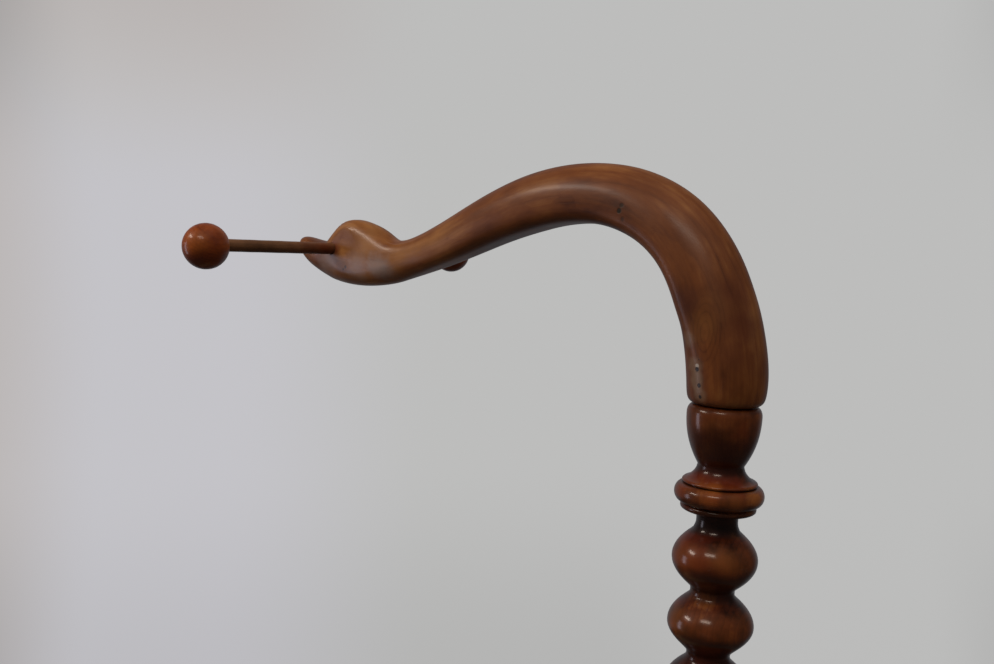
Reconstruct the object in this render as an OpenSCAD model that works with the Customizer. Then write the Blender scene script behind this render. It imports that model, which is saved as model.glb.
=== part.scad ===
// Swinging cradle on a turned stand, with a swan-neck arm that holds a drape rod.
// The origin is on the floor under the middle of the stand. +X points to the
// head post, +Z is up, and the cradle swings about a line along X.

/* [Stand] */
// Distance between the axes of the two posts
post_span = 990; // [950:10:1100]
// Height of the swing pivots above the floor
pivot_z = 770; // [740:10:820]
// Width over the toes of the legs
foot_spread = 560; // [520:10:620]
// Thickness of a leg, along X
leg_t = 40; // [32:1:46]
// Side of the square blocks left on the posts
block_w = 56; // [52:1:60]

/* [Turning] */
// Radius of a bobbin on the posts
bobbin_r = 23.6; // [22:0.1:26]
// Radius of the waist between two bobbins
waist_r = 11.9; // [10:0.1:13]
// Height of one bobbin on the posts
bobbin_pitch = 36.5; // [34:0.5:38]
// Number of bobbins on the drape column
column_bobbins = 14; // [10:1:16]
// Number of bobbins on the lower part of each post
post_bobbins = 12; // [10:1:12]

/* [Drape arm] */
// Reach of the arm, from the column's axis to the rod
arm_reach = 312; // [250:1:360]
// Height of the rod above the arm's seat
rod_rise = 72; // [60:1:80]
// Diameter of the drape rod
rod_d = 8.5; // [6:0.5:9]
// Distance between the centres of the rod's balls
rod_span = 236; // [180:2:320]
// Diameter of a ball
ball_d = 30; // [26:1:34]

/* [Cradle] */
// Outward lean of the cradle's sides, in degrees
flare = 10; // [6:1:12]
// Half width at the line where the bottom rails lie
base_half_w = 172; // [150:1:180]
// Height of that line above the floor
base_z = 450; // [440:5:470]
// Number of spindles in each side
side_spindles = 12; // [9:1:13]
// Number of spindles in each end
end_spindles = 5; // [3:1:5]
// Number of slats under the bedding
slat_count = 9; // [7:1:10]

/* [Hidden] */
$fn = 48;

glue = 0.15;             // room round a tenon or a peg in its hole
running = 0.06;          // radial room of a pin that turns in its hole
post_x = post_span / 2;

// Stand
leg_block = [105, 225];                       // lower block, bottom and top
pivot_block = [pivot_z - 70, pivot_z + 66];   // upper block, bottom and top
leg_z = 168;                                  // middle of the leg and stretcher joints
leg_tenon = [14, 20, 34];                     // thickness, depth and height
toe_r = 24;
toe_rise = 22;                                // toe's centre, so its underside is flat
stretcher_r = 18;
stretcher_tenon_r = 9;
stretcher_tenon_l = 20;
peg_r = 3.5;
post_tenon_r = 11;
post_tenon_l = 36;

// Drape column and arm
collar_h = 67.5;                              // cup, collar and neck above the bobbins
column_foot_h = 25;
arm_z = pivot_block[1] + column_foot_h + column_bobbins * bobbin_pitch + collar_h;
arm_gap = 0.3;                                // room between the cup and the arm
arm_tenon_r = 9;
arm_tenon_l = 36;
cup_r = 20.3;
collar_r = 25;
rod_seat = 10;                                // depth of the rod in a ball
ball_drop = 1;                                // the balls are drilled this far above their centres

// Cradle
corner_block_w = 34;
crib_gap = 12;                                // between a stand post and the corner posts
corner_x = post_x - block_w / 2 - crib_gap - corner_block_w / 2;
rail_t = 22;
end_rail_t = 24;
corner_low_block = [-25, 40];                 // along the leaning post
corner_high_block = [250, 345];
top_rail_s = [295, 335];
bottom_rail_s = [-14, 24];
end_bottom_z = [base_z - 10, base_z + 30];
crest_z = [705, 752, 820];                    // underside, shoulder and peak
tenon_t = 8;
tenon_l = 12;
spindle_tenon_r = 5;
spindle_tenon_l = 10;
ledge_z = [base_z + 2, base_z + 18];
slat_t = 9;
slat_w = 58;
boss_r = 34;
boss_t = 10;
washer_t = 6;
pin_r = 6;
bush_r = 10;
knob_l = 26;

walnut = "#5a2b14";
dark_walnut = "#3d1c0e";
fruitwood = "#7a4522";
brass = "#a8843c";
iron = "#4a4744";

// ---------- Curves and turned outlines, as [radius, height] points ----------

function lerp(a, b, t) = a + (b - a) * t;
function ease(t) = t * t * (3 - 2 * t);

// Half an ellipse that swells out from a core
function bead(z, h, core, swell, steps = 8) =
    [for (i = [0:steps]) let (a = -90 + 180 * i / steps)
        [core + swell * cos(a), z + h / 2 * (1 + sin(a))]];

// A hollow quarter curve between two radii
function cove(z, h, r0, r1, steps = 5) =
    [for (i = [0:steps]) let (a = 90 * i / steps)
        r1 > r0 ? [r0 + (r1 - r0) * (1 - cos(a)), z + h * sin(a)]
                : [r1 + (r0 - r1) * (1 - sin(a)), z + h * (1 - cos(a))]];

// One bobbin: a parabola that runs out into half of a soft waist at both ends.
// t goes from -1 to 1, and the parabola by itself would meet the waist at 0.926.
function bobbin(z, pitch, r, waist, steps = 12) =
    [for (i = [0:steps])
        let (t = 2 * i / steps - 1, arc = 1 - pow(t / 0.926, 2), soft = norm([arc, 0.12]))
        [lerp(waist, r, (arc + soft) / 2), z + pitch * (0.5 + 0.48 * t)]];

function bobbins(count, z, pitch, r, waist, steps = 12) =
    [for (k = [0:count - 1]) each bobbin(z + k * pitch, pitch, r, waist, steps)];

module turned(points) {
    bottom = points[0];
    top = points[len(points) - 1];
    rotate_extrude()
        polygon(concat([[0, bottom[1]]], points, [[0, top[1]]]));
}

// A square block whose corners the lathe has rounded at both ends
module turned_block(w, z, shoulder = 7) {
    corner = w / sqrt(2) + 1;
    intersection() {
        translate([-w / 2, -w / 2, z[0]])
            cube([w, w, z[1] - z[0]]);
        turned(concat(
            [for (i = [0:4]) let (a = 22.5 * i)
                [lerp(w / 2 - 3, corner, sin(a)), z[0] + shoulder * (1 - cos(a))]],
            [for (i = [4:-1:0]) let (a = 22.5 * i)
                [lerp(w / 2 - 3, corner, sin(a)), z[1] - shoulder * (1 - cos(a))]]
        ));
    }
}

// ---------- Stand ----------

module at_post(end) { translate([end * post_x, 0, 0]) children(); }

// A leg tenon seen from the post's axis, for the leg and for its mortise
module leg_tenon_shape(side, room) {
    scale_y = side * (block_w / 2 - leg_tenon[1] / 2);
    translate([0, scale_y, leg_z])
        cube([leg_tenon[0] + 2 * room, leg_tenon[1] + 2 * room, leg_tenon[2] + 2 * room],
             center = true);
}

// Two pegs through each leg tenon, driven from the outer face of the block.
// They stand out by one length, and go past the post's axis by another.
module peg_set(end, r, out, past) {
    for (side = [-1, 1], dz = [-9, 9])
        at_post(end)
            translate([end * (block_w / 2 + out), side * 18, leg_z + dz])
                rotate([0, -90 * end, 0])
                    cylinder(h = block_w / 2 + out + past, r = r);
}

module post_body(end) {
    turned_low = leg_block[1];
    turned_high = pivot_block[0];
    spare = (turned_high - turned_low - post_bobbins * bobbin_pitch) / 2;
    difference() {
        at_post(end) {
            turned(concat(
                [[0.5, leg_block[0] - 34]],
                bead(leg_block[0] - 33, 22, 6, 14),
                cove(leg_block[0] - 11, 11, 10, 22),
                [[22, leg_block[0] + 2]]
            ));
            turned_block(block_w, leg_block);
            turned(concat(
                [[22, turned_low - 2]],
                bead(turned_low + 0.5, spare - 3, 17, 7),
                bobbins(post_bobbins, turned_low + spare, bobbin_pitch, bobbin_r, waist_r),
                bead(turned_high - spare + 2.5, spare - 3, 17, 7),
                [[22, turned_high + 2]]
            ));
            turned_block(block_w, pivot_block);
        }
        // socket in the top, for the column or the finial
        at_post(end)
            translate([0, 0, pivot_block[1] - post_tenon_l - 1])
                cylinder(h = post_tenon_l + 2, r = post_tenon_r + glue);
        // pivot bush
        at_post(end)
            translate([0, 0, pivot_z])
                rotate([0, 90, 0])
                    cylinder(h = block_w + 2, r = bush_r + glue / 3, center = true);
        // stretcher
        translate([end * (post_x - block_w / 2 + stretcher_tenon_l / 2), 0, leg_z])
            rotate([0, 90, 0])
                cylinder(h = stretcher_tenon_l + 1, r = stretcher_tenon_r + glue, center = true);
        for (side = [-1, 1])
            at_post(end) leg_tenon_shape(side, glue);
        peg_set(end, peg_r + glue, 1, 14);
    }
}

// The leg's middle line: level out of the block, down, then level into the toe
function leg_line(t) =
    let (toe = foot_spread / 2 - toe_r, u = 1 - t,
         p = [[block_w / 2, leg_z], [block_w / 2 + 84, leg_z + 4],
              [toe * 0.44, toe_rise - 8], [toe, toe_rise + 2]])
    u * u * u * p[0] + 3 * u * u * t * p[1] + 3 * u * t * t * p[2] + t * t * t * p[3];

function leg_half_width(t) = lerp(41, 14.5, ease(min(1, t * 1.25)));

function leg_side(sign, steps = 22) =
    [for (i = [0:steps])
        let (t = i / steps, a = leg_line(max(0, t - 0.01)), b = leg_line(min(1, t + 0.01)),
             d = (b - a) / norm(b - a))
        leg_line(t) + sign * leg_half_width(t) * (i == 0 ? [0, 1] : [-d[1], d[0]])];

module leg_outline() {
    far = leg_side(1);
    near = leg_side(-1);
    intersection() {
        union() {
            polygon(concat(far, [for (i = [len(near) - 1:-1:0]) near[i]]));
            translate([foot_spread / 2 - toe_r, toe_rise]) circle(r = toe_r);
        }
        square([foot_spread, 400]);
    }
}

module leg(end, side) {
    color(walnut)
    difference() {
        union() {
            at_post(end)
                mirror([0, side < 0 ? 1 : 0, 0])
                    rotate([90, 0, 90])
                        translate([0, 0, -leg_t / 2])
                            linear_extrude(height = leg_t) leg_outline();
            at_post(end) leg_tenon_shape(side, 0);
        }
        peg_set(end, peg_r + glue, 1, 14);
    }
}

module stretcher() {
    half = post_x - block_w / 2;
    pitch = 33;
    count = floor((half - 62) / pitch);
    start = half - 12 - count * pitch;
    outer = concat(
        bobbins(count, start, pitch, stretcher_r, 9, 8),
        bead(half - 11.5, 9, 12, 5),
        [[12, half - 2], [12, half], [stretcher_tenon_r, half],
         [stretcher_tenon_r, half + stretcher_tenon_l]]
    );
    inner = concat(
        bead(-24, 48, 9, 15, 14),
        [[11, 24.5], [11, start - 11]],
        bead(start - 10.5, 8, 12, 5),
        [[9, start - 1.5]]
    );
    color(walnut)
        translate([0, 0, leg_z])
            rotate([0, 90, 0])
                turned(concat(
                    [for (i = [len(outer) - 1:-1:0]) [outer[i][0], -outer[i][1]]],
                    [for (i = [len(inner) - 1:-1:15]) [inner[i][0], -inner[i][1]]],
                    inner, outer
                ));
}

module pivot_bush(end) {
    color(brass)
        at_post(end)
            translate([0, 0, pivot_z])
                rotate([0, 90 * end, 0])
                    difference() {
                        turned([[bush_r, -block_w / 2], [bush_r, block_w / 2]]);
                        cylinder(h = block_w + 2, r = pin_r + running, center = true);
                    }
}

// ---------- Drape column, arm and rod ----------

// Collar and cup, from the neck above the top bobbin up to the arm's seat:
// a rounded lip, a fat ring, a thin lip with a hollow flare, and the cup
function collar_points(top) = concat(
    [[11.8, top - 66.9], [11.6, top - 65.6], [11.6, top - 64], [12.5, top - 60.8]],
    [for (i = [0:6]) let (a = 15 * i) [12.8 + 8.2 * sin(a), top - 57 - 2.7 * cos(a)]],
    [[21.1, top - 56.2], [20.3, top - 54.9]],
    bead(top - 54.4, 11.2, 20.6, collar_r - 20.6, 10),
    [[20.3, top - 43.1], [21.2, top - 42.5], [21.2, top - 41.2]],
    [for (i = [0:4]) let (a = 22.5 * i) [15.2 + 5.4 * cos(a), top - 40.6 + 3.4 * sin(a)]],
    [[14.5, top - 36.4], [13.1, top - 33.6]],
    [for (i = [0:9]) let (f = 1 - i / 9)
        [13 + (cup_r - 13) * (1 - pow(f, 2.2)), top - 5 - 27.9 * f]],
    [for (i = [1:5]) let (a = 18 * i) [cup_r - 3 * (1 - cos(a)), top - 5 + 5 * sin(a)]]
);

module drape_column() {
    low = pivot_block[1];
    color(dark_walnut)
    difference() {
        at_post(1)
            turned(concat(
                [[post_tenon_r, low - post_tenon_l], [post_tenon_r, low], [18, low], [22, low + 2]],
                bead(low + 2.5, 14, 17, 8),
                cove(low + 17, 7, 16, waist_r),
                bobbins(column_bobbins, low + column_foot_h, bobbin_pitch, bobbin_r, waist_r),
                collar_points(arm_z)
            ));
        at_post(1)
            translate([0, 0, arm_z - arm_tenon_l - 1])
                cylinder(h = arm_tenon_l + 2, r = arm_tenon_r + running);
    }
}

module foot_finial() {
    low = pivot_block[1];
    top = low + 86;
    color(dark_walnut)
        at_post(-1)
            turned(concat(
                [[post_tenon_r, low - post_tenon_l], [post_tenon_r, low], [18, low], [22, low + 2]],
                bead(low + 2.5, 12, 17, 8),
                cove(low + 15, 6, 16, waist_r),
                bobbin(low + 21, bobbin_pitch, bobbin_r, waist_r),
                [for (i = [0:14]) let (a = -56 + 146 * i / 14) [20 * cos(a), top - 4 + 20 * sin(a)]]
            ));
}

// Stations along the arm's middle line, measured from its seat on the column:
// x, z, heading (0 is up, 90 towards the foot), half height on the outer and on
// the inner side, half width, and half width between the flats of the cheeks.
arm_stations = [
    [   0, arm_gap,   0, 16.8, 16.8, 16.8, 30],
    [   0,     1,     0, 18.6, 18.6, 18.6, 30],
    [   0.2,   2.6,   0, 20.5, 20.6, 20.4, 30],
    [   0.2,   6,     0, 21.6, 21.4, 21.4, 30],
    [   0.2,  14,     2, 22.2, 21.9, 22,   30],
    [  -3.4,  35,    12, 22.6, 22.1, 22.4, 30],
    [ -10,    56,    22, 22.3, 22.3, 22.3, 30],
    [ -20,    76,    34, 21.8, 21.8, 21.6, 30],
    [ -35.5,  94,    50, 21,   21,   20.6, 30],
    [ -57,   107,    68, 19.6, 19.6, 19.2, 30],
    [ -84,   113.4,  84, 18.5, 18.5, 18,   30],
    [-113,   112.7,  97, 18.4, 18.4, 18,   30],
    [-142,   106.4, 107, 18.2, 18.2, 17.4, 30],
    [-172,    95.8, 112, 16.7, 16.7, 16,   26],
    [-202,    83,   113, 14.7, 15.1, 14.4, 22],
    [-217.5,  76.6, 110, 13.8, 14.1, 13.8, 18],
    [-233,    71,   105, 13.1, 13.8, 13.4, 15],
    [-244,    67.6, 100, 13.3, 14,   13.6, 14.6],
    [-254,    65.5,  96, 14.5, 14.6, 14,   14.2],
    [-261,    65.2,  93, 17.5, 15.9, 14.3, 14],
    [-268,    65.5,  91, 21.3, 17.4, 14.8, 13.8],
    [-276,    65.7,  90, 24.2, 18.6, 15.6, 13.6],
    [-284,    66,    90, 26,   19.5, 17.5, 13.4],
    [-290,    66.3,  90, 27,   19.9, 20.2, 13.2],
    [-295,    66.6,  90, 27.3, 20.2, 25,   13.1],
    [-301,    67,    90, 27,   20.3, 26,   13],
    [-306,    67.3,  90, 25.8, 20.1, 22,   12.9],
    [-310.5,  67.5,  90, 23.8, 19.8, 19.3, 12.7],
    [-315.5,  67.8,  90, 19.2, 19.2, 16.4, 12.3],
    [-319.5,  68,    90, 14.2, 18.7, 13.8, 11.9],
    [-322.5,  68.3,  90, 10.2, 18,   12,   11.4],
    [-325.3,  68.5,  90,  8.2, 17.3, 11.2, 11],
    [-329,    68.9,  90,  8.1, 16.5, 10.8, 10.8],
    [-338,    70,    90,  7.9, 14,   10.2, 10.2],
    [-347.5,  72.2,  86,  7.2, 10.8,  9,    9],
    [-354,    74.6,  82,  5.3,  6.9,  6.8,  6.8],
    [-357.6,  76.3,  80,  1.7,  1.9,  2.3,  2.3]
];
arm_steps = 2;       // rings from one station to the next
arm_sides = 24;

function spline(p, i, t) =
    let (n = len(p) - 1, a = p[max(0, i - 1)], b = p[i], c = p[min(n, i + 1)], d = p[min(n, i + 2)])
    b + 0.5 * t * (c - a + t * (2 * a - 5 * b + 4 * c - d + t * (3 * (b - c) + d - a)));

function arm_ring(s) =
    [for (k = [0:arm_sides - 1])
        let (a = 360 * k / arm_sides, flat = min(s[5], s[6]),
             across = sin(a) >= 0 ? max(-s[6], min(s[6], s[5] * cos(a))) : flat * cos(a),
             out = sin(a) >= 0 ? s[3] * sin(a) : s[4] * sin(a))
        [s[0] + out * cos(s[2]), across, s[1] + out * sin(s[2])]];

module lofted(rings) {
    n = len(rings[0]);
    last = len(rings) - 1;
    polyhedron(
        points = [for (r = rings) each r],
        faces = concat(
            [for (k = [1:n - 2]) [0, k + 1, k]],
            [for (k = [1:n - 2]) [last * n, last * n + k, last * n + k + 1]],
            [for (i = [0:last - 1], k = [0:n - 1])
                [i * n + k, (i + 1) * n + (k + 1) % n, (i + 1) * n + k]],
            [for (i = [0:last - 1], k = [0:n - 1])
                [i * n + k, i * n + (k + 1) % n, (i + 1) * n + (k + 1) % n]]
        )
    );
}

module swan_neck_arm() {
    last = len(arm_stations) - 1;
    rings = [for (i = [0:last - 1], j = [0:arm_steps - 1])
                arm_ring(spline(arm_stations, i, j / arm_steps))];
    color(fruitwood)
        translate([post_x, 0, arm_z])
            difference() {
                union() {
                    lofted(concat(rings, [arm_ring(arm_stations[last])]));
                    translate([0, 0, 1 - arm_tenon_l])
                        cylinder(h = arm_tenon_l + 4, r = arm_tenon_r);
                }
                translate([-arm_reach, 0, rod_rise])
                    rotate([90, 0, 0])
                        cylinder(h = 60, r = rod_d / 2 + running, center = true);
            }
}

module at_rod() { translate([post_x - arm_reach, 0, arm_z + rod_rise]) children(); }

module drape_rod() {
    color(dark_walnut)
        at_rod()
            rotate([90, 0, 0])
                cylinder(h = rod_span - ball_d + 2 * rod_seat, r = rod_d / 2, center = true);
}

// A ball with a small flat where the rod goes in
module rod_ball(side) {
    r = ball_d / 2;
    flat = asin((rod_d / 2 + 0.5 + ball_drop) / r);
    color(walnut)
        at_rod()
            translate([0, side * rod_span / 2, -ball_drop])
                rotate([-90 * side, 0, 0])
                    difference() {
                        turned([for (i = [0:16]) let (a = lerp(flat - 90, 90, i / 16))
                            [r * cos(a), r * sin(a)]]);
                        translate([0, -side * ball_drop, -r - glue])
                            cylinder(h = rod_seat + 2 * glue, r = rod_d / 2 + glue / 3);
                    }
}

// ---------- Cradle ----------

// Places a piece of a side in the plane that leans outwards
module leaning(side) {
    translate([0, side * base_half_w, base_z])
        rotate([-side * flare, 0, 0])
            children();
}

// Where a face of the leaning side, this far inside its middle, is at a height
function face_y(z, inset) = base_half_w + (z - base_z) * tan(flare) - inset / cos(flare);

// Tenons of the end rails, in the leaning frame
module end_tenon(side, s, room) {
    mid = side * (tenon_l / 2 - corner_block_w / 2 - 1);
    translate([0, mid, (s[0] + s[1]) / 2])
        cube([tenon_t + 2 * room, tenon_l + 2 + 2 * room, s[1] - s[0] + 2 * room], center = true);
}

module corner_post(end, side) {
    lo = corner_low_block;
    hi = corner_high_block;
    count = 7;
    spare = 8;
    pitch = (hi[0] - lo[1] - 2 * spare) / count;
    color(walnut)
        leaning(side)
            translate([end * corner_x, 0, 0])
                difference() {
                    union() {
                        turned(concat(
                            [[3, lo[0] - 26]],
                            bead(lo[0] - 25, 18, 6, 9),
                            [[9, lo[0] - 6], [13, lo[0] - 4], [13, lo[0] + 2]]
                        ));
                        turned_block(corner_block_w, lo, 5);
                        turned(concat(
                            [[13, lo[1] - 2]],
                            bead(lo[1] + 0.5, spare - 2, 10, 4.5),
                            bobbins(count, lo[1] + spare, pitch, 15, 8, 10),
                            bead(hi[0] - spare + 1.5, spare - 2, 10, 4.5),
                            [[13, hi[0] + 2]]
                        ));
                        turned_block(corner_block_w, hi, 5);
                        turned(concat(
                            [[13, hi[1] - 2]],
                            bead(hi[1] + 0.5, 7, 10, 4.5),
                            [[7.5, hi[1] + 8], [7.5, hi[1] + 13]],
                            [for (i = [0:12]) let (a = -58 + 148 * i / 12)
                                [14 * cos(a), hi[1] + 25 + 14 * sin(a)]]
                        ));
                    }
                    // mortises of the side rails
                    for (s = [top_rail_s, bottom_rail_s])
                        translate([-end * (corner_block_w / 2 - tenon_l / 2 + 1), 0, (s[0] + s[1]) / 2])
                            cube([tenon_l + 2 + 2 * glue, tenon_t + 2 * glue, s[1] - s[0] - 12 + 2 * glue],
                                 center = true);
                    // mortises of the end rails
                    for (s = [crest_tenon_s, end_tenon_s])
                        end_tenon(side, s, glue);
                }
}

crest_tenon_s = [(crest_z[0] - base_z) / cos(flare) + 8, (crest_z[1] - base_z) / cos(flare) - 8];
end_tenon_s = [(end_bottom_z[0] - base_z) / cos(flare) + 7, (end_bottom_z[1] - base_z) / cos(flare) - 7];

// A side rail: a bar with a rounded upper edge and a tenon at each end
module side_rail(side, s, spindle_from) {
    half = corner_x - corner_block_w / 2;
    h = s[1] - s[0];
    section = concat(
        [[-rail_t / 2, 0], [rail_t / 2, 0]],
        [for (i = [0:8]) let (a = 22.5 * i) [rail_t / 2 * cos(a), h - 8 + 8 * sin(a)]]
    );
    color(walnut)
        leaning(side)
            difference() {
                union() {
                    translate([-half, 0, s[0]])
                        rotate([90, 0, 90])
                            linear_extrude(height = 2 * half) polygon(section);
                    translate([0, 0, (s[0] + s[1]) / 2])
                        cube([2 * (half + tenon_l), tenon_t, h - 12], center = true);
                }
                for (x = side_spindle_x)
                    translate([x, 0, spindle_from])
                        cylinder(h = 2 * spindle_tenon_l + 1, r = spindle_tenon_r + glue, center = true);
            }
}

side_gap = 2 * (corner_x - corner_block_w / 2) / (side_spindles + 1);
side_spindle_x = [for (i = [1:side_spindles]) (i - (side_spindles + 1) / 2) * side_gap];
end_gap = 2 * face_y(end_bottom_z[1], corner_block_w / 2) / (end_spindles + 1);
end_spindle_y = [for (i = [1:end_spindles]) (i - (end_spindles + 1) / 2) * end_gap];

// A slim baluster between two rails: three bobbins between tapered shafts
module spindle(low, high) {
    mid = (low + high) / 2;
    reach = (high - low) / 2;
    half = concat(
        bobbin(-8, 16, 9, 5, 8),
        bobbin(8, 16, 8.4, 5, 8),
        [[5, 24.5]],
        bead(25, 5, 5.5, 3, 6),
        [[5, 30.5], [7.4, reach * 0.62], [5.6, reach - 11]],
        bead(reach - 10.5, 6, 5.6, 2.6, 6),
        [[6, reach - 4], [6.6, reach], [spindle_tenon_r, reach],
         [spindle_tenon_r, reach + spindle_tenon_l]]
    );
    middle = 4;   // the point of the first bobbin that lies at mid height
    translate([0, 0, mid])
        turned(concat(
            [for (i = [len(half) - 1:-1:middle + 1]) [half[i][0], -half[i][1]]],
            [for (i = [middle:len(half) - 1]) half[i]]
        ));
}

module side_spindle_row(side) {
    color(walnut)
        leaning(side)
            for (x = side_spindle_x)
                translate([x, 0, 0]) spindle(bottom_rail_s[1], top_rail_s[0]);
}

module end_spindle_row(end) {
    color(walnut)
        for (y = end_spindle_y)
            translate([end * corner_x, y, 0]) spindle(end_bottom_z[1], crest_z[0]);
}

// A board across one end, with its tenons and the holes of its spindles
module end_board(end, outline, s, hole_z) {
    translate([end * corner_x, 0, 0])
        difference() {
            union() {
                rotate([90, 0, 90])
                    translate([0, 0, -end_rail_t / 2])
                        linear_extrude(height = end_rail_t) polygon(outline);
                for (side = [-1, 1])
                    leaning(side) end_tenon(side, s, 0);
            }
            for (y = end_spindle_y)
                translate([0, y, hole_z])
                    cylinder(h = 2 * spindle_tenon_l + 1, r = spindle_tenon_r + glue, center = true);
        }
}

// The crest rises in one soft wave from its shoulders to the pivot
module crest_rail(end) {
    inset = corner_block_w / 2;
    low = face_y(crest_z[0], inset);
    high = face_y(crest_z[1], inset);
    rise = crest_z[2] - crest_z[1];
    wave = [for (i = [0:28]) let (f = 1 - i / 14)
        [high * f, crest_z[1] + rise * (1 + cos(180 * f)) / 2]];
    color(walnut)
        difference() {
            end_board(end, concat([[-low, crest_z[0]], [low, crest_z[0]]], wave), crest_tenon_s, crest_z[0]);
            along_pivot(end)
                translate([0, 0, corner_x])
                    cylinder(h = end_rail_t + 2, r = pin_r + glue / 3, center = true);
        }
}

module end_bottom_rail(end) {
    inset = corner_block_w / 2;
    low = face_y(end_bottom_z[0], inset);
    high = face_y(end_bottom_z[1], inset);
    outline = [[-low, end_bottom_z[0]], [low, end_bottom_z[0]],
               [high, end_bottom_z[1]], [-high, end_bottom_z[1]]];
    color(walnut)
        end_board(end, outline, end_tenon_s, end_bottom_z[1]);
}

module slat_ledge(side) {
    half = corner_x - corner_block_w / 2;
    a = face_y(ledge_z[0], rail_t / 2);
    b = face_y(ledge_z[1], rail_t / 2);
    color(fruitwood)
        mirror([0, side < 0 ? 1 : 0, 0])
            translate([-half, 0, 0])
                rotate([90, 0, 90])
                    linear_extrude(height = 2 * half)
                        polygon([[a, ledge_z[0]], [b, ledge_z[1]],
                                 [b - 16, ledge_z[1]], [a - 13, ledge_z[0]]]);
}

module mattress_slats() {
    run = 2 * (corner_x - corner_block_w / 2) - slat_w - 30;
    long = 2 * (face_y(ledge_z[1], rail_t / 2) - 1);
    color(fruitwood)
        for (i = [0:slat_count - 1])
            translate([run * (i / (slat_count - 1) - 0.5), 0, ledge_z[1] + slat_t / 2])
                cube([slat_w, long, slat_t], center = true);
}

// Pivot parts, each along X away from the middle of the cradle
module along_pivot(end) {
    translate([0, 0, pivot_z]) rotate([0, 90 * end, 0]) children();
}

rail_face = corner_x + end_rail_t / 2;
post_outer = post_x + block_w / 2;

module pivot_boss(end) {
    color(dark_walnut)
        along_pivot(end)
            difference() {
                turned(concat(
                    [[boss_r, rail_face], [boss_r, rail_face + 4]],
                    [for (i = [0:6]) let (a = 15 * i)
                        [18 + (boss_r - 20) * cos(a), rail_face + 4.5 + (boss_t - 5) * sin(a)]],
                    [[17, rail_face + boss_t]]
                ));
                translate([0, 0, rail_face - 1])
                    cylinder(h = boss_t + 2, r = pin_r + glue / 3);
            }
}

module pivot_washer(end) {
    start = rail_face + boss_t;
    color(brass)
        along_pivot(end)
            difference() {
                turned([[14, start], [15, start + 0.8],
                        [15, start + washer_t - 0.8], [14, start + washer_t]]);
                translate([0, 0, start - 1])
                    cylinder(h = washer_t + 2, r = pin_r + glue / 3);
            }
}

// The pin is driven through the crest rail from inside the crib, where it has a flat round head
module pivot_pin(end) {
    inner = corner_x - end_rail_t / 2;
    color(iron)
        along_pivot(end)
            turned([[9, inner - 5], [11, inner - 4], [11, inner], [pin_r, inner],
                    [pin_r, post_outer + 14], [pin_r - 1, post_outer + 15]]);
}

module pivot_knob(end) {
    start = post_outer + 1;
    color(dark_walnut)
        along_pivot(end)
            difference() {
                turned(concat(
                    [[13, start]],
                    bead(start + 0.5, 5, 12, 5, 6),
                    [[11, start + 6]],
                    [for (i = [0:10]) let (a = -50 + 140 * i / 10)
                        [18 * cos(a), start + knob_l - 12 + 12 * sin(a)]]
                ));
                translate([0, 0, start - 1])
                    cylinder(h = 16, r = pin_r + glue / 3);
            }
}

// ---------- Nodes ----------

color(walnut) post_body(1);  // head_post
color(walnut) post_body(-1);  // foot_post
foot_finial();
drape_column();
leg(1, 1);  // head_leg_left
leg(1, -1);  // head_leg_right
leg(-1, 1);  // foot_leg_left
leg(-1, -1);  // foot_leg_right
stretcher();
color(fruitwood) for (end = [-1, 1]) peg_set(end, peg_r, 0.6, 13.5);  // leg_pegs
pivot_bush(1);  // pivot_bush_head
pivot_bush(-1);  // pivot_bush_foot
swan_neck_arm();
drape_rod();
rod_ball(1);  // rod_ball_left
rod_ball(-1);  // rod_ball_right
corner_post(1, 1);  // corner_post_head_left
corner_post(1, -1);  // corner_post_head_right
corner_post(-1, 1);  // corner_post_foot_left
corner_post(-1, -1);  // corner_post_foot_right
side_rail(1, top_rail_s, top_rail_s[0]);  // top_rail_left
side_rail(-1, top_rail_s, top_rail_s[0]);  // top_rail_right
side_rail(1, bottom_rail_s, bottom_rail_s[1]);  // bottom_rail_left
side_rail(-1, bottom_rail_s, bottom_rail_s[1]);  // bottom_rail_right
crest_rail(1);  // head_crest_rail
crest_rail(-1);  // foot_crest_rail
end_bottom_rail(1);  // head_bottom_rail
end_bottom_rail(-1);  // foot_bottom_rail
side_spindle_row(1);  // side_spindles_left
side_spindle_row(-1);  // side_spindles_right
end_spindle_row(1);  // head_spindles
end_spindle_row(-1);  // foot_spindles
slat_ledge(1);  // slat_ledge_left
slat_ledge(-1);  // slat_ledge_right
mattress_slats();
pivot_boss(1);  // pivot_boss_head
pivot_boss(-1);  // pivot_boss_foot
pivot_washer(1);  // pivot_washer_head
pivot_washer(-1);  // pivot_washer_foot
pivot_pin(1);  // pivot_pin_head
pivot_pin(-1);  // pivot_pin_foot
pivot_knob(1);  // pivot_knob_head
pivot_knob(-1);  // pivot_knob_foot
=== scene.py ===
"""Looks of a swinging cradle on its turned stand, with a swan-neck drape arm."""

import logging
import math
import random
from collections.abc import Callable, Sequence
from dataclasses import dataclass, replace
from enum import Enum

import bmesh
import bpy
from mathutils import Matrix, Vector


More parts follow.
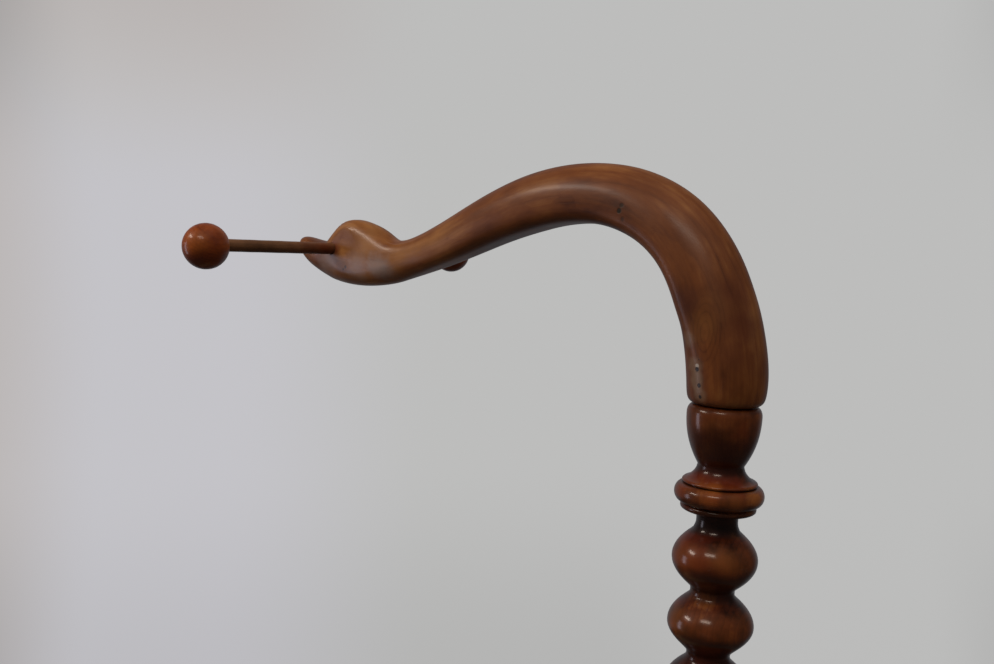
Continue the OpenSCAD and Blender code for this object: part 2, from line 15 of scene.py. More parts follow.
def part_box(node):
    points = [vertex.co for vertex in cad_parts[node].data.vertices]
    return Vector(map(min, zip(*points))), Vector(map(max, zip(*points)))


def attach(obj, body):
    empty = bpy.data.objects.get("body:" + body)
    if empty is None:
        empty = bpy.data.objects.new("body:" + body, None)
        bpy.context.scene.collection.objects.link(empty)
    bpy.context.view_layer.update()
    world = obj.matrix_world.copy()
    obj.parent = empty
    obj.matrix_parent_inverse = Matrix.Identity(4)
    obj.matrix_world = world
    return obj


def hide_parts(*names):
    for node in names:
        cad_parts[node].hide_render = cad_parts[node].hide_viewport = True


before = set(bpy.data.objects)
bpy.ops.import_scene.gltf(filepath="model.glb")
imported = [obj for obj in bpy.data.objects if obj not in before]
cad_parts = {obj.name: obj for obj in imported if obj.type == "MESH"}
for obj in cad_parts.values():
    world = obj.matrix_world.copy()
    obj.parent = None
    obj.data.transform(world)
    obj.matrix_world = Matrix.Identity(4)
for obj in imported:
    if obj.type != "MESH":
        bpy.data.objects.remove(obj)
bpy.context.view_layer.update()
LOG = logging.getLogger("cradle")

Point = tuple[float, float, float]
Colour = tuple[float, float, float]
Span = tuple[float, float]
Socket = bpy.types.NodeSocket
Piece = bpy.types.Object

MM = 0.001
ORIGIN: Point = (0.0, 0.0, 0.0)
EVEN: Point = (1.0, 1.0, 1.0)
ENDS = ("head", "foot")
SIDES = ("left", "right")

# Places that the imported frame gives
COLUMN_LOW, COLUMN_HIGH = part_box("drape_column")
POST_X = (COLUMN_LOW.x + COLUMN_HIGH.x) / 2
SEAT_Z = COLUMN_HIGH.z
ROD_LOW, ROD_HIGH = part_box("drape_rod")
ROD_X = (ROD_LOW.x + ROD_HIGH.x) / 2
ROD_Z = (ROD_LOW.z + ROD_HIGH.z) / 2
ROD_R = (ROD_HIGH.z - ROD_LOW.z) / 2
RAIL_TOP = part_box("top_rail_left")[1].z


def from_seat(x: float, y: float, z: float) -> Point:
    """A point of the row frame, from millimetres off the top of the column."""
    return (POST_X + x * MM, y * MM, SEAT_Z + z * MM)


# ---------------------------------------------------------------- shaders


def math_node(operation: str, swapped: bool = False) -> Callable[..., "Value"]:
    """Makes a method of Value that adds one Math node.

    Args:
        operation: The node's operation.
        swapped: Whether the other number comes first.

    Returns:
        The method.
    """
    settings = {"operation": operation}

    def method(self: "Value", other: object = 0.0) -> "Value":
        """Joins the number with another one, where the operation takes two."""
        inputs = dict(enumerate((other, self) if swapped else (self, other)))
        return Value(self.shader, self.shader.node("ShaderNodeMath", settings, inputs).outputs[0])

    return method


class Value:
    """A number from a shader socket that takes part in sums."""

    __add__ = math_node("ADD")
    __radd__ = math_node("ADD", swapped=True)
    __sub__ = math_node("SUBTRACT")
    __rsub__ = math_node("SUBTRACT", swapped=True)
    __mul__ = math_node("MULTIPLY")
    __truediv__ = math_node("DIVIDE")
    __pow__ = math_node("POWER")
    most = math_node("MAXIMUM")
    size = math_node("ABSOLUTE")
    fraction = math_node("FRACT")

    def __init__(self, shader: "Nodes", socket: Socket) -> None:
        """Wraps one output socket of a shader, to which the sums' nodes are added."""
        self.shader = shader
        self.socket = socket

    def swing(self, by: float) -> "Value":
        """How far a noise is from its middle, made stronger or weaker."""
        return (self - 0.5) * by

    def step(self, low: float, high: float) -> "Value":
        """Runs softly from 0 to 1.

        Args:
            low: Where the result leaves 0.
            high: Where it reaches 1; it may be below low.

        Returns:
            The smooth step.
        """
        rising = float(high > low)
        span = {"From Min": min(low, high), "From Max": max(low, high)}
        made = self.shader.node(
            "ShaderNodeMapRange", {"interpolation_type": "SMOOTHSTEP"},
            {"Value": self, **span, "To Min": 1.0 - rising, "To Max": rising},
        )
        return Value(self.shader, made.outputs["Result"])


@dataclass(frozen=True)
class Noise:
    """A soft noise: how fine it is, how many finer layers it has, and how strong those are."""

    scale: float
    detail: float = 3.0
    rough: float = 0.5


class Nodes:
    """The nodes of one material or of the world."""

    def __init__(self, owner: bpy.types.Material | bpy.types.World) -> None:
        """Starts from an empty tree.

        Args:
            owner: What the nodes belong to.
        """
        owner.use_nodes = True
        self.tree = owner.node_tree
        self.tree.nodes.clear()

    def node(
        self,
        kind: str,
        settings: dict[str, object] | None = None,
        inputs: dict[str | int, object] | None = None,
    ) -> bpy.types.Node:
        """Adds any node.

        Args:
            kind: The node's type.
            settings: Its properties.
            inputs: The values or links of its sockets.

        Returns:
            The node.
        """
        made = self.tree.nodes.new(kind)
        for name, value in (settings or {}).items():
            setattr(made, name, value)
        for key, value in (inputs or {}).items():
            self.feed(made.inputs[key], value)
        return made

    def feed(self, socket: Socket, value: object) -> None:
        """Links a socket, or sets its value.

        Args:
            socket: The input.
            value: A Value, another socket, a number or a tuple.
        """
        if isinstance(value, Value):
            self.tree.links.new(value.socket, socket)
        elif isinstance(value, Socket):
            self.tree.links.new(value, socket)
        elif isinstance(value, tuple) and len(value) == 3 and socket.type == "RGBA":
            socket.default_value = (*value, 1.0)
        else:
            socket.default_value = value

    def vector(self, operation: str, first: object, second: object) -> bpy.types.Node:
        """Adds one Vector Math node."""
        return self.node("ShaderNodeVectorMath", {"operation": operation}, {0: first, 1: second})

    def attribute(self, name: str) -> Socket:
        """Reads a vector attribute of the piece."""
        return self.node("ShaderNodeAttribute", {"attribute_name": name}).outputs["Vector"]

    def number(self, name: str) -> Value:
        """Reads a number that the piece keeps for each of its points."""
        made = self.node("ShaderNodeAttribute", {"attribute_name": name})
        return Value(self, made.outputs["Fac"])

    def slid(self, vector: Socket, by: Value, way: Point) -> Socket:
        """Slides a pattern some way, by a number that differs from part to part."""
        moved = self.node("ShaderNodeCombineXYZ", None, {i: by * way[i] for i in range(3)})
        return self.vector("ADD", vector, moved.outputs[0]).outputs[0]

    def leaned(self, vector: Socket, degrees: float) -> Socket:
        """Turns a pattern about X."""
        turned = {"Vector": vector, "Rotation": (math.radians(degrees), 0.0, 0.0)}
        return self.node("ShaderNodeMapping", {"vector_type": "POINT"}, turned).outputs[0]

    def split(self, vector: Socket) -> tuple[Value, Value, Value]:
        """Takes a vector apart into x, y and z."""
        made = self.node("ShaderNodeSeparateXYZ", None, {0: vector})
        return tuple(Value(self, out) for out in made.outputs)

    def placed(self, vector: Socket, centre: Point, scale: Point = EVEN) -> Socket:
        """Centres a pattern on a point, and squeezes it along each axis."""
        moved = self.vector("SUBTRACT", vector, centre).outputs[0]
        return self.vector("MULTIPLY", moved, scale).outputs[0]

    def far(self, vector: Socket, point: Point) -> Value:
        """The distance from a point."""
        return Value(self, self.vector("DISTANCE", vector, point).outputs["Value"])

    def towards(self, vector: Socket, axis: Vector) -> Value:
        """How far a direction leans towards an axis, from -1 to 1."""
        return Value(self, self.vector("DOT_PRODUCT", vector, tuple(axis)).outputs["Value"])

    def noise(self, vector: Socket, kind: Noise) -> Value:
        """Soft noise about 0.5."""
        made = self.node("ShaderNodeTexNoise", None, {
            "Vector": vector, "Scale": kind.scale, "Detail": kind.detail, "Roughness": kind.rough,
        })
        return Value(self, made.outputs[0])

    def ramp(self, place: Value, stops: Sequence[tuple[float, Colour]]) -> Socket:
        """Turns a number into a colour.

        Args:
            place: The number.
            stops: A place and a colour for each stop.

        Returns:
            The colour.
        """
        made = self.node("ShaderNodeValToRGB", None, {0: place})
        elements = made.color_ramp.elements
        while len(elements) < len(stops):
            elements.new(1.0)
        for element, (at, colour) in zip(elements, stops, strict=True):
            element.position = at
            element.color = (*colour, 1.0)
        return made.outputs[0]

    def mix(self, share: object, first: object, second: object) -> Socket:
        """Goes from one colour to another as share goes from 0 to 1."""
        inputs = {"Factor": share, 6: first, 7: second}
        return self.node("ShaderNodeMix", {"data_type": "RGBA"}, inputs).outputs[2]


class Shader(Nodes):
    """One procedural material, built on Object coordinates or on a piece's own attribute."""

    def __init__(self, name: str) -> None:
        """Makes an empty material with its surface shader.

        Args:
            name: The material's name.
        """
        self.material = bpy.data.materials.new(name)
        super().__init__(self.material)
        self.surface = self.node("ShaderNodeBsdfPrincipled")
        out = self.node("ShaderNodeOutputMaterial")
        self.tree.links.new(self.surface.outputs[0], out.inputs["Surface"])
        self.here = self.node("ShaderNodeTexCoord").outputs["Object"]

    def raised(self, height: Value, depth: float) -> None:
        """Gives the surface a fine relief.

        Args:
            height: The relief, from 0 to 1.
            depth: What 1 means, in metres.
        """
        inputs = {"Height": height, "Distance": depth, "Strength": 1.0}
        made = self.node("ShaderNodeBump", None, inputs)
        self.feed(self.surface.inputs["Normal"], made.outputs[0])

    def set(self, **values: object) -> None:
        """Sets the surface's sockets, with _ for a space in a socket's name."""
        for name, value in values.items():
            self.feed(self.surface.inputs[name.replace("_", " ")], value)


class Grain(Enum):
    """The way that a board's grain runs: that axis, and the two across it."""

    ALONG_X = (0, 1, 2)
    ALONG_Y = (1, 2, 0)
    ALONG_Z = (2, 0, 1)


@dataclass(frozen=True)
class Mark:
    """A stain, scuff or hole, or a patch of painted light or shade, in millimetres from the
    column's top.
    """

    x: float
    y: float
    z: float
    reach: float
    colour: Colour
    share: float = 0.7
    soft: float = 0.7
    deep: float = 0.0


@dataclass(frozen=True)
class Crevice:
    """A turned groove with painted shade and some old dirt, in millimetres from the column's axis
    and top.
    """

    radius: float
    height: float
    width: float
    share: float = 0.8


@dataclass
class Figure:
    """The patterns that a wood's tone, polish and relief are made from."""

    bend: Value
    rings: Value
    fibre: Value
    cloud: Value
    dirt: Value


@dataclass(frozen=True)
class Wood:
    """A polished wood, with growth rings about a heart line off to one side."""

    name: str
    dark: Colour
    middle: Colour
    light: Colour
    rough: float
    coat: float
    coat_rough: float = 0.10
    shine: float = 0.20
    grain: Grain = Grain.ALONG_Z
    heart: Point = (0.035, -0.055, 0.0)
    ring: float = 3.2 * MM
    lean: float = 0.0
    relief: float = 0.10 * MM
    marks: tuple[Mark, ...] = ()

    # How fine the patterns are
    along: float = 0.07
    bend: Noise = Noise(22.0)
    fibre: Noise = Noise(520.0, 4.0, 0.62)
    blotch: Noise = Noise(30.0, 4.0, 0.58)
    dirt: Noise = Noise(95.0, 3.0, 0.6)
    ring_bend: float = 6.0
    ring_edge: float = 3.0
    slide: Point = (0.37, 0.23, 0.29)

    # How strongly they show in the tone, and where in it the three colours lie
    patchy: float = 1.25
    fibrous: float = 0.45
    wavy: float = 0.5
    ringed: float = 0.10
    spread: float = 0.25
    stops: Point = (0.20, 0.50, 0.84)

    # How strongly they show in the roughness and the relief
    cloud_rough: float = 0.16
    dirt_rough: float = 0.10
    smoothest: float = 0.08
    pores: Span = (0.36, 0.30)
    pore_relief: float = 0.5
    dirt_relief: float = 0.30
    cloud_relief: float = 0.9
    fibre_relief: float = 0.16

    # A second tone in patches beside the first
    warm: Colour | None = None
    warm_place: Point = (0.31, 0.17, 0.43)
    warm_from: Span = (0.48, 0.60)
    warm_share: float = 0.65

    # Painted shade with some old dirt inside the first of these radii, fading out by the second,
    # and worn light past it
    groove: Span | None = None
    groove_fray: float = 4 * MM
    groove_share: float = 0.78
    crown_fray: float = 6 * MM
    crown: Span = (-1 * MM, 4 * MM)
    crown_share: float = 0.18

    # Painted shade with some old dirt in deep grooves and under overhangs, and painted shade on
    # faces that look down
    crevices: tuple[Crevice, ...] = ()
    crevice_fray: float = 1.6 * MM
    crevice_shade_and_dirt: Colour = (0.010, 0.0040, 0.0026)
    underside_shade: float = 0.35
    underside_shade_fray: float = 0.3
    underside_shade_from: Span = (0.0, 0.52)

    # Rubbed from the first of these heights on, and bare at the second
    rubbed: Span | None = None
    rubbed_fray: float = 30 * MM
    rubbed_share: float = 0.5
    rubbed_rough: float = 0.12

    def figure(
        self, shader: Shader, whole: Socket, fine: Socket, bent: Socket, cloudy: Socket
    ) -> Figure:
        """Draws the wood's patterns.

        Args:
            shader: The material's nodes.
            whole: Coordinates for the growth rings.
            fine: Coordinates drawn out along the grain, for the fibres.
            bent: Coordinates for the slow bends of the grain.
            cloudy: Coordinates for the cloudy stain.

        Returns:
            The patterns.
        """
        bend = shader.noise(bent, self.bend)
        parts = shader.split(shader.placed(whole, self.heart))
        x, y = (parts[i] for i in self.grain.value[1:])
        radius = (x * x + y * y) ** 0.5
        return Figure(
            bend=bend,
            rings=(radius / self.ring + bend * self.ring_bend).fraction() ** self.ring_edge,
            fibre=shader.noise(fine, self.fibre),
            cloud=shader.noise(cloudy, self.blotch),
            dirt=shader.noise(shader.here, self.dirt),
        )

    def tone(self, figure: Figure) -> Value:
        """How light the wood is, about 0.5."""
        tone = 0.5 + figure.cloud.swing(self.patchy) + figure.fibre.swing(self.fibrous)
        return tone + figure.bend.swing(self.wavy) - figure.rings * self.ringed

    def toned(self, shader: Shader, tone: Value) -> Socket:
        """The colour of a tone."""
        return shader.ramp(tone, list(zip(self.stops, (self.dark, self.middle, self.light))))

    def roughness(self, figure: Figure) -> Value:
        """How dull the polish is."""
        rough = self.rough + figure.cloud.swing(self.cloud_rough)
        return rough + figure.dirt.swing(self.dirt_rough)

    def height(self, figure: Figure) -> Value:
        """The relief of pores, dirt and fibres."""
        pores = figure.fibre.step(*self.pores) * -self.pore_relief + figure.dirt * self.dirt_relief
        return pores + figure.cloud * self.cloud_relief + figure.fibre * self.fibre_relief

    def finished(
        self, shader: Shader, colour: Socket, rough: Value, coat: object, height: Value, dirt: Value
    ) -> bpy.types.Material:
        """Lays the wood's marks over it, and sets its surface.

        Args:
            shader: The material's nodes.
            colour: The wood's colour.
            rough: Its roughness.
            coat: How much polish lies on it.
            height: Its relief.
            dirt: The noise that frays the marks' edges.

        Returns:
            The material.
        """
        for mark in self.marks:
            reach = mark.reach * MM
            away = shader.far(shader.here, from_seat(mark.x, mark.y, mark.z))
            spot = (away + dirt.swing(reach) * mark.soft).step(reach, reach * (1 - mark.soft))
            colour = shader.mix(spot * mark.share, colour, mark.colour)
            if mark.deep:
                height = height - spot * mark.deep
        shader.set(
            Base_Color=colour,
            Roughness=rough.most(self.smoothest),
            Coat_Weight=coat,
            Coat_Roughness=self.coat_rough,
            Specular_IOR_Level=self.shine,
        )
        shader.raised(height, self.relief)
        return shader.material

    def shaded_soiled_and_worn(self, shader: Shader, colour: Socket, figure: Figure) -> Socket:
        """Paints shade into grooves and crevices, with old dirt, and onto undersides; wears crowns
        light.

        Args:
            shader: The material's nodes.
            colour: The wood's colour.
            figure: Its patterns.

        Returns:
            The new colour.
        """
        dirt = figure.dirt
        # Painted shade with some old dirt in the waists of the turning; the crowns are worn lighter
        if self.groove:
            inner, outer = self.groove
            reach = shader.number("reach")
            shade = (reach + dirt.swing(self.groove_fray)).step(outer, inner)
            colour = shader.mix(shade * self.groove_share, colour, self.dark)
            worn = reach + figure.cloud.swing(self.crown_fray)
            crown = worn.step(outer + self.crown[0], outer + self.crown[1])
            colour = shader.mix(crown * self.crown_share, colour, self.light)
        # Painted shade with some old dirt in each crevice
        for crevice in self.crevices:
            out = shader.number("reach") - crevice.radius * MM
            up = shader.split(shader.here)[2] - (SEAT_Z + crevice.height * MM)
            away = (out * out + up * up) ** 0.5 + dirt.swing(self.crevice_fray)
            shade = away.step(crevice.width * MM, 0.0)
            colour = shader.mix(shade * crevice.share, colour, self.crevice_shade_and_dirt)
        # Painted shade on faces that look down
        below = (shader.number("below") + dirt.swing(self.underside_shade_fray)).step(*self.underside_shade_from)
        return shader.mix(below * self.underside_shade, colour, self.dark)

    def material(self) -> bpy.types.Material:
        """Builds the material.

        Returns:
            The material.
        """
        shader = Shader(self.name)
        own = shader.number("own")
        here = shader.slid(shader.leaned(shader.here, self.lean), own, self.slide)
        stretch = tuple(self.along if i == self.grain.value[0] else 1.0 for i in range(3))
        fine = shader.placed(here, self.heart, stretch)
        figure = self.figure(shader, whole=here, fine=fine, bent=fine, cloudy=here)
        colour = self.toned(shader, self.tone(figure) + own.swing(self.spread))
        if self.warm:
            beside = shader.placed(here, self.warm_place)
            other = shader.noise(beside, Noise(self.blotch.scale)).step(*self.warm_from)
            colour = shader.mix(other * self.warm_share, colour, self.warm)
        colour = self.shaded_soiled_and_worn(shader, colour, figure)
        rough = self.roughness(figure)
        if self.rubbed:
            level = shader.split(shader.here)[2] + figure.cloud.swing(self.rubbed_fray)
            bare = level.step(*self.rubbed)
            colour = shader.mix(bare * self.rubbed_share, colour, self.light)
            rough = rough + bare * self.rubbed_rough
        return self.finished(shader, colour, rough, self.coat, self.height(figure), figure.dirt)


@dataclass(frozen=True)
class ArmWood(Wood):
    """The arm's fruitwood: grain along the bend; stained, bruised, wormed; painted shade,
    highlights and reflections.
    """

    along: float = 0.09
    bend: Noise = Noise(16.0)
    fibre: Noise = Noise(430.0, 4.0, 0.62)
    blotch: Noise = Noise(30.0, 4.0, 0.6)
    dirt: Noise = Noise(110.0, 3.0, 0.6)
    ring_bend: float = 5.0
    fibrous: float = 0.34
    wavy: float = 0.4
    ringed: float = 0.06
    stops: Point = (0.18, 0.48, 0.86)
    cloud_rough: float = 0.20
    dirt_rough: float = 0.14
    smoothest: float = 0.12
    pore_relief: float = 0.35
    dirt_relief: float = 0.22
    cloud_relief: float = 0.8
    fibre_relief: float = 0.12
    speck: Noise = Noise(620.0, 2.0, 0.6)
    speck_relief: float = 0.50
    bend_along: float = 0.35
    cloud_along: float = 0.5

    # Nested dark lines round a knot in the neck
    eye: Point = (-3.6, -21.9, 40.5)
    eye_along: float = 0.42
    eye_reach: float = 13.0 * MM
    eye_full: float = 0.3
    eye_ring: float = 2.1 * MM
    eye_bend: float = 2.6
    eye_cloud: float = 1.6
    eye_dark: float = 0.12

    # Paler past the bend and again at the head; the pairs are lengths along the arm
    neck: Span = (0.11, 0.25)
    neck_pale: float = 0.09
    neck_coat: float = 0.10
    head: Span = (0.30, 0.40)
    head_pale: float = 0.08
    head_polish: float = 0.08
    # The inner side past the bend, the neck's underside, gets painted shade
    inner_side: Span = (1 * MM, -10 * MM)
    inner_painted_shade: float = 0.07
    shade: float = 0.040
    # Colour of the worn arris of the head, which is partly a painted highlight
    bare: Colour = (0.33, 0.150, 0.058)
    wear_and_sheen_share: float = 0.55

    def knot(self, shader: Shader, figure: Figure) -> Value:
        """Draws the nested lines round the knot.

        Args:
            shader: The material's nodes.
            figure: The wood's patterns.

        Returns:
            The lines, from 0 to 1.
        """
        nested = shader.placed(shader.here, from_seat(*self.eye), (1.0, 1.0, self.eye_along))
        out = shader.far(nested, ORIGIN)
        wander = figure.bend * self.eye_bend
        turns = (out / self.eye_ring + wander + figure.cloud * self.eye_cloud).fraction()
        lines = (turns.swing(1.0).size() * 2.0) ** self.ring_edge
        return lines * out.step(self.eye_reach, self.eye_reach * self.eye_full)

    def material(self) -> bpy.types.Material:
        """Builds the material on the arm's own grain attribute.

        Returns:
            The material.
        """
        shader = Shader(self.name)
        grain = shader.attribute("grain")
        figure = self.figure(
            shader, whole=grain,
            fine=shader.placed(grain, ORIGIN, (1.0, 1.0, self.along)),
            bent=shader.placed(grain, self.heart, (1.0, 1.0, self.bend_along)),
            cloudy=shader.placed(grain, ORIGIN, (1.0, 1.0, self.cloud_along)),
        )
        out, _, run = shader.split(grain)
        past_bend = run.step(*self.neck)
        head = run.step(*self.head)
        # Painted shade on the inner side past the bend, the underside of the neck
        under = past_bend * out.step(*self.inner_side)
        tone = self.tone(figure) + past_bend * self.neck_pale - self.shade
        tone = tone - self.knot(shader, figure) * self.eye_dark - under * self.inner_painted_shade
        colour = self.toned(shader, tone + head * self.head_pale)
        # The worn arris is painted lighter, partly as a highlight
        colour = shader.mix(shader.number("worn") * self.wear_and_sheen_share, colour, self.bare)
        speck = shader.noise(shader.here, self.speck) * self.speck_relief
        rough = self.roughness(figure) - head * self.head_polish
        coat = self.coat + past_bend * self.neck_coat
        height = self.height(figure) + speck
        return self.finished(shader, colour, rough, coat, height, figure.dirt)


@dataclass(frozen=True)
class Metal:
    """An aged metal with duller, darker patches."""

    name: str
    bright: Colour
    dull: Colour
    rough: float
    patch: Noise = Noise(70.0, 4.0, 0.6)
    scratch: Noise = Noise(630.0, 3.0, 0.6)
    tarnished: Span = (0.42, 0.64)
    tarnish_fray: float = 0.3
    tarnish_rough: float = 0.22
    tarnish_matte: float = 0.25
    scratch_rough: float = 0.12
    scratch_relief: float = 0.4
    relief: float = 0.05 * MM

    def material(self) -> bpy.types.Material:
        """Builds the material.

        Returns:
            The material.
        """
        shader = Shader(self.name)
        patch = shader.noise(shader.here, self.patch)
        scratch = shader.noise(shader.here, self.scratch)
        tarnish = (patch + scratch.swing(self.tarnish_fray)).step(*self.tarnished)
        shader.set(
            Base_Color=shader.mix(tarnish, self.bright, self.dull),
            Metallic=1.0 - tarnish * self.tarnish_matte,
            Roughness=self.rough + tarnish * self.tarnish_rough + scratch.swing(self.scratch_rough),
        )
        height = scratch * self.scratch_relief + patch * (1 - self.scratch_relief)
        shader.raised(height, self.relief)
        return shader.material


# ---------------------------------------------------------------- modelling

MERGE = 2e-6
SHARP = math.radians(38)
FLAT = math.radians(1)
END_SLICE = 1.5 * MM
DRILL_SIDES = 40
WORN_STEPS = 3
WORN_LEAST = 1.2


def lerp(low: float, high: float, share: float) -> float:
    """A number part of the way between two others."""
    return low + (high - low) * share


def soft_step(value: float, low: float, high: float) -> float:
    """Runs softly from 0 at low to 1 at high, which may be below low."""
    share = min(1.0, max(0.0, (value - low) / (high - low)))
    return share * share * (3 - 2 * share)


def arc(
    middle: Span, size: Span, steps: Sequence[int], half_turn: int, power: float = 1.0
) -> list[Span]:
    """Draws part of an oval as a lathe profile.

    Args:
        middle: The radius and height of its middle.
        size: How far it goes out and down from there.
        steps: Which points of it are drawn, counted from the bottom.
        half_turn: How many steps take it from the bottom to the top.
        power: Over 1 for a flatter, deeper cove.

    Returns:
        Radius and height of each point.
    """
    turns = [t * math.pi / half_turn for t in steps]
    return [
        (middle[0] + size[0] * math.sin(a) ** power, middle[1] - size[1] * math.cos(a) ** power)
        for a in turns
    ]


def select(piece: Piece | None = None) -> None:
    """Leaves edit mode, and selects one piece alone or nothing.

    Args:
        piece: The piece.
    """
    if bpy.context.mode != "OBJECT":
        bpy.ops.object.mode_set(mode="OBJECT")
    bpy.ops.object.select_all(action="DESELECT")
    if piece:
        piece.select_set(True)
        bpy.context.view_layer.objects.active = piece


def fix_place(piece: Piece) -> None:
    """Moves a piece's own place and turn into its mesh."""
    select(piece)
    bpy.ops.object.transform_apply(location=True, rotation=True, scale=True)


def editing(piece: Piece) -> None:
    """Opens one piece in edit mode, with all of it selected.

    Args:
        piece: The piece.
    """
    select(piece)
    bpy.ops.object.mode_set(mode="EDIT")
    bpy.ops.mesh.select_mode(type="VERT")
    bpy.ops.mesh.select_all(action="SELECT")


def apply_modifier(piece: Piece, kind: str, **settings: object) -> None:
    """Adds a modifier and applies it.

    Args:
        piece: The piece that takes it.
        kind: The modifier's type.
        **settings: Its properties.
    """
    select(piece)
    modifier = piece.modifiers.new(kind.title(), kind)
    for name, value in settings.items():
        setattr(modifier, name, value)
    bpy.ops.object.modifier_apply(modifier=modifier.name)


def finish_piece(
    piece: Piece,
    name: str,
    body: str,
    finish: bpy.types.Material,
    node: str,
    smooth: float = 40.0,
) -> None:
    """Names, shades and dresses a modelled piece, and hands it to its body.

    Args:
        piece: The piece.
        name: Its name.
        body: The body that it rides on.
        finish: Its material.
        node: The node that it stands for.
        smooth: Edges sharper than this many degrees stay sharp.
    """
    fix_place(piece)
    bpy.ops.object.shade_smooth_by_angle(angle=math.radians(smooth))
    piece.name = name
    piece.data.name = name
    piece.data.materials.clear()
    piece.data.materials.append(finish)
    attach(piece, body)
    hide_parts(node)
    LOG.info("%s: %d faces on %s", name, len(piece.data.polygons), body)


def turn(profile: Sequence[Span], centre: Point, sides: int) -> Piece:
    """Turns a profile about an upright axis, as on a lathe.

    Args:
        profile: Radius and height of each point, from the bottom up, in metres.
        centre: The foot of the axis; heights are measured from it.
        sides: How many faces go round.

    Returns:
        The closed piece.
    """
    select()
    start = Vector(centre) + Vector((0.0, 0.0, profile[0][1]))
    bpy.ops.mesh.primitive_plane_add(size=MM, location=start)
    piece = bpy.context.object
    fix_place(piece)
    editing(piece)
    bpy.ops.mesh.merge(type="CENTER")
    at_r, at_z = 0.0, profile[0][1]
    for radius, height in [*profile, (0.0, profile[-1][1])]:
        bpy.ops.mesh.extrude_region_move(
            TRANSFORM_OT_translate={"value": (radius - at_r, 0.0, height - at_z)}
        )
        at_r, at_z = radius, height
    bpy.ops.mesh.select_all(action="SELECT")
    bpy.ops.mesh.spin(steps=sides, angle=2 * math.pi, center=centre, axis=(0.0, 0.0, 1.0))
    bpy.ops.mesh.select_all(action="SELECT")
    bpy.ops.mesh.remove_doubles(threshold=MERGE / 2)
    bpy.ops.mesh.normals_make_consistent(inside=False)
    bpy.ops.object.mode_set(mode="OBJECT")
    return piece


def weigh_edges(piece: Piece, shortest: float) -> None:
    """Marks the sharp outer edges that hands and feet wear round.

    Args:
        piece: The piece.
        shortest: Edges under this length, such as those of peg holes, stay sharp.
    """
    mesh = bmesh.new()
    mesh.from_mesh(piece.data)
    weight = mesh.edges.layers.float.new("bevel_weight_edge")
    for edge in mesh.edges:
        sharp = edge.is_manifold and edge.is_convex and edge.calc_face_angle() > SHARP
        edge[weight] = float(sharp and edge.calc_length() > shortest)
    mesh.to_mesh(piece.data)
    mesh.free()


def loose_part(start: bmesh.types.BMVert, seen: set[int]) -> list[bmesh.types.BMVert]:
    """Gathers the points that hang together with one.

    Args:
        start: The first point.
        seen: The numbers of the points gathered so far, which grows.

    Returns:
        The part's points.
    """
    seen.add(start.index)
    part = [start]
    for vert in part:
        for edge in vert.link_edges:
            other = edge.other_vert(vert)
            if other.index not in seen:
                seen.add(other.index)
                part.append(other)
    return part


def keep_parts(piece: Piece, along: int, chance: random.Random) -> None:
    """Keeps for each point how far it is from its part's axis, and how much it looks down.

    Each part also gets a number of its own, so that no two parts share their grain.

    Args:
        piece: The piece, of one or more loose parts.
        along: The axis, 0 to 2, that the parts are long in, though theirs may lean off it.
        chance: Where the numbers come from.
    """
    mesh = bmesh.new()
    mesh.from_mesh(piece.data)
    mesh.verts.ensure_lookup_table()
    reach, own, below = (mesh.verts.layers.float.new(name) for name in ("reach", "own", "below"))
    mesh.normal_update()
    seen: set[int] = set()
    for start in mesh.verts:
        if start.index in seen:
            continue
        part = loose_part(start, seen)
        ends = []
        for end in (min(v.co[along] for v in part), max(v.co[along] for v in part)):
            close = [v.co for v in part if abs(v.co[along] - end) < END_SLICE]
            ends.append(sum(close, Vector()) / len(close))
        axis = (ends[1] - ends[0]).normalized()
        number = chance.random()
        for vert in part:
            vert[reach] = (vert.co - ends[0]).cross(axis).length
            vert[own] = number
            vert[below] = max(0.0, -vert.normal.z)
    mesh.to_mesh(piece.data)
    mesh.free()


def drill(piece: Piece, place: Point, radius: float, length: float) -> None:
    """Drills a hole along Y.

    Args:
        piece: The piece.
        place: The middle of the drill.
        radius: Its radius.
        length: Its length.
    """
    select()
    bpy.ops.mesh.primitive_cylinder_add(
        vertices=DRILL_SIDES, radius=radius, depth=length, location=place,
        rotation=(math.pi / 2, 0.0, 0.0),
    )
    bit = bpy.context.object
    fix_place(bit)
    apply_modifier(piece, "BOOLEAN", object=bit, operation="DIFFERENCE", solver="EXACT")
    bpy.data.objects.remove(bit)


def refined_copy(node: str, worn_edge: float) -> Piece:
    """Copies a node's mesh, merges it and softens its sharp edges.

    Args:
        node: The node.
        worn_edge: The width of the softened edges, in metres; 0 leaves them.

    Returns:
        The copy.
    """
    select()
    mesh = bpy.data.objects[node].data.copy()
    mesh.materials.clear()
    piece = bpy.data.objects.new(node + "_dressed", mesh)
    bpy.context.collection.objects.link(piece)
    editing(piece)
    bpy.ops.mesh.customdata_custom_splitnormals_clear()
    bpy.ops.mesh.remove_doubles(threshold=MERGE)
    if worn_edge:
        bpy.ops.mesh.dissolve_limited(angle_limit=FLAT)
    bpy.ops.object.mode_set(mode="OBJECT")
    if worn_edge:
        weigh_edges(piece, WORN_LEAST * worn_edge)
        apply_modifier(piece, "BEVEL", width=worn_edge, segments=WORN_STEPS, limit_method="WEIGHT")
    return piece


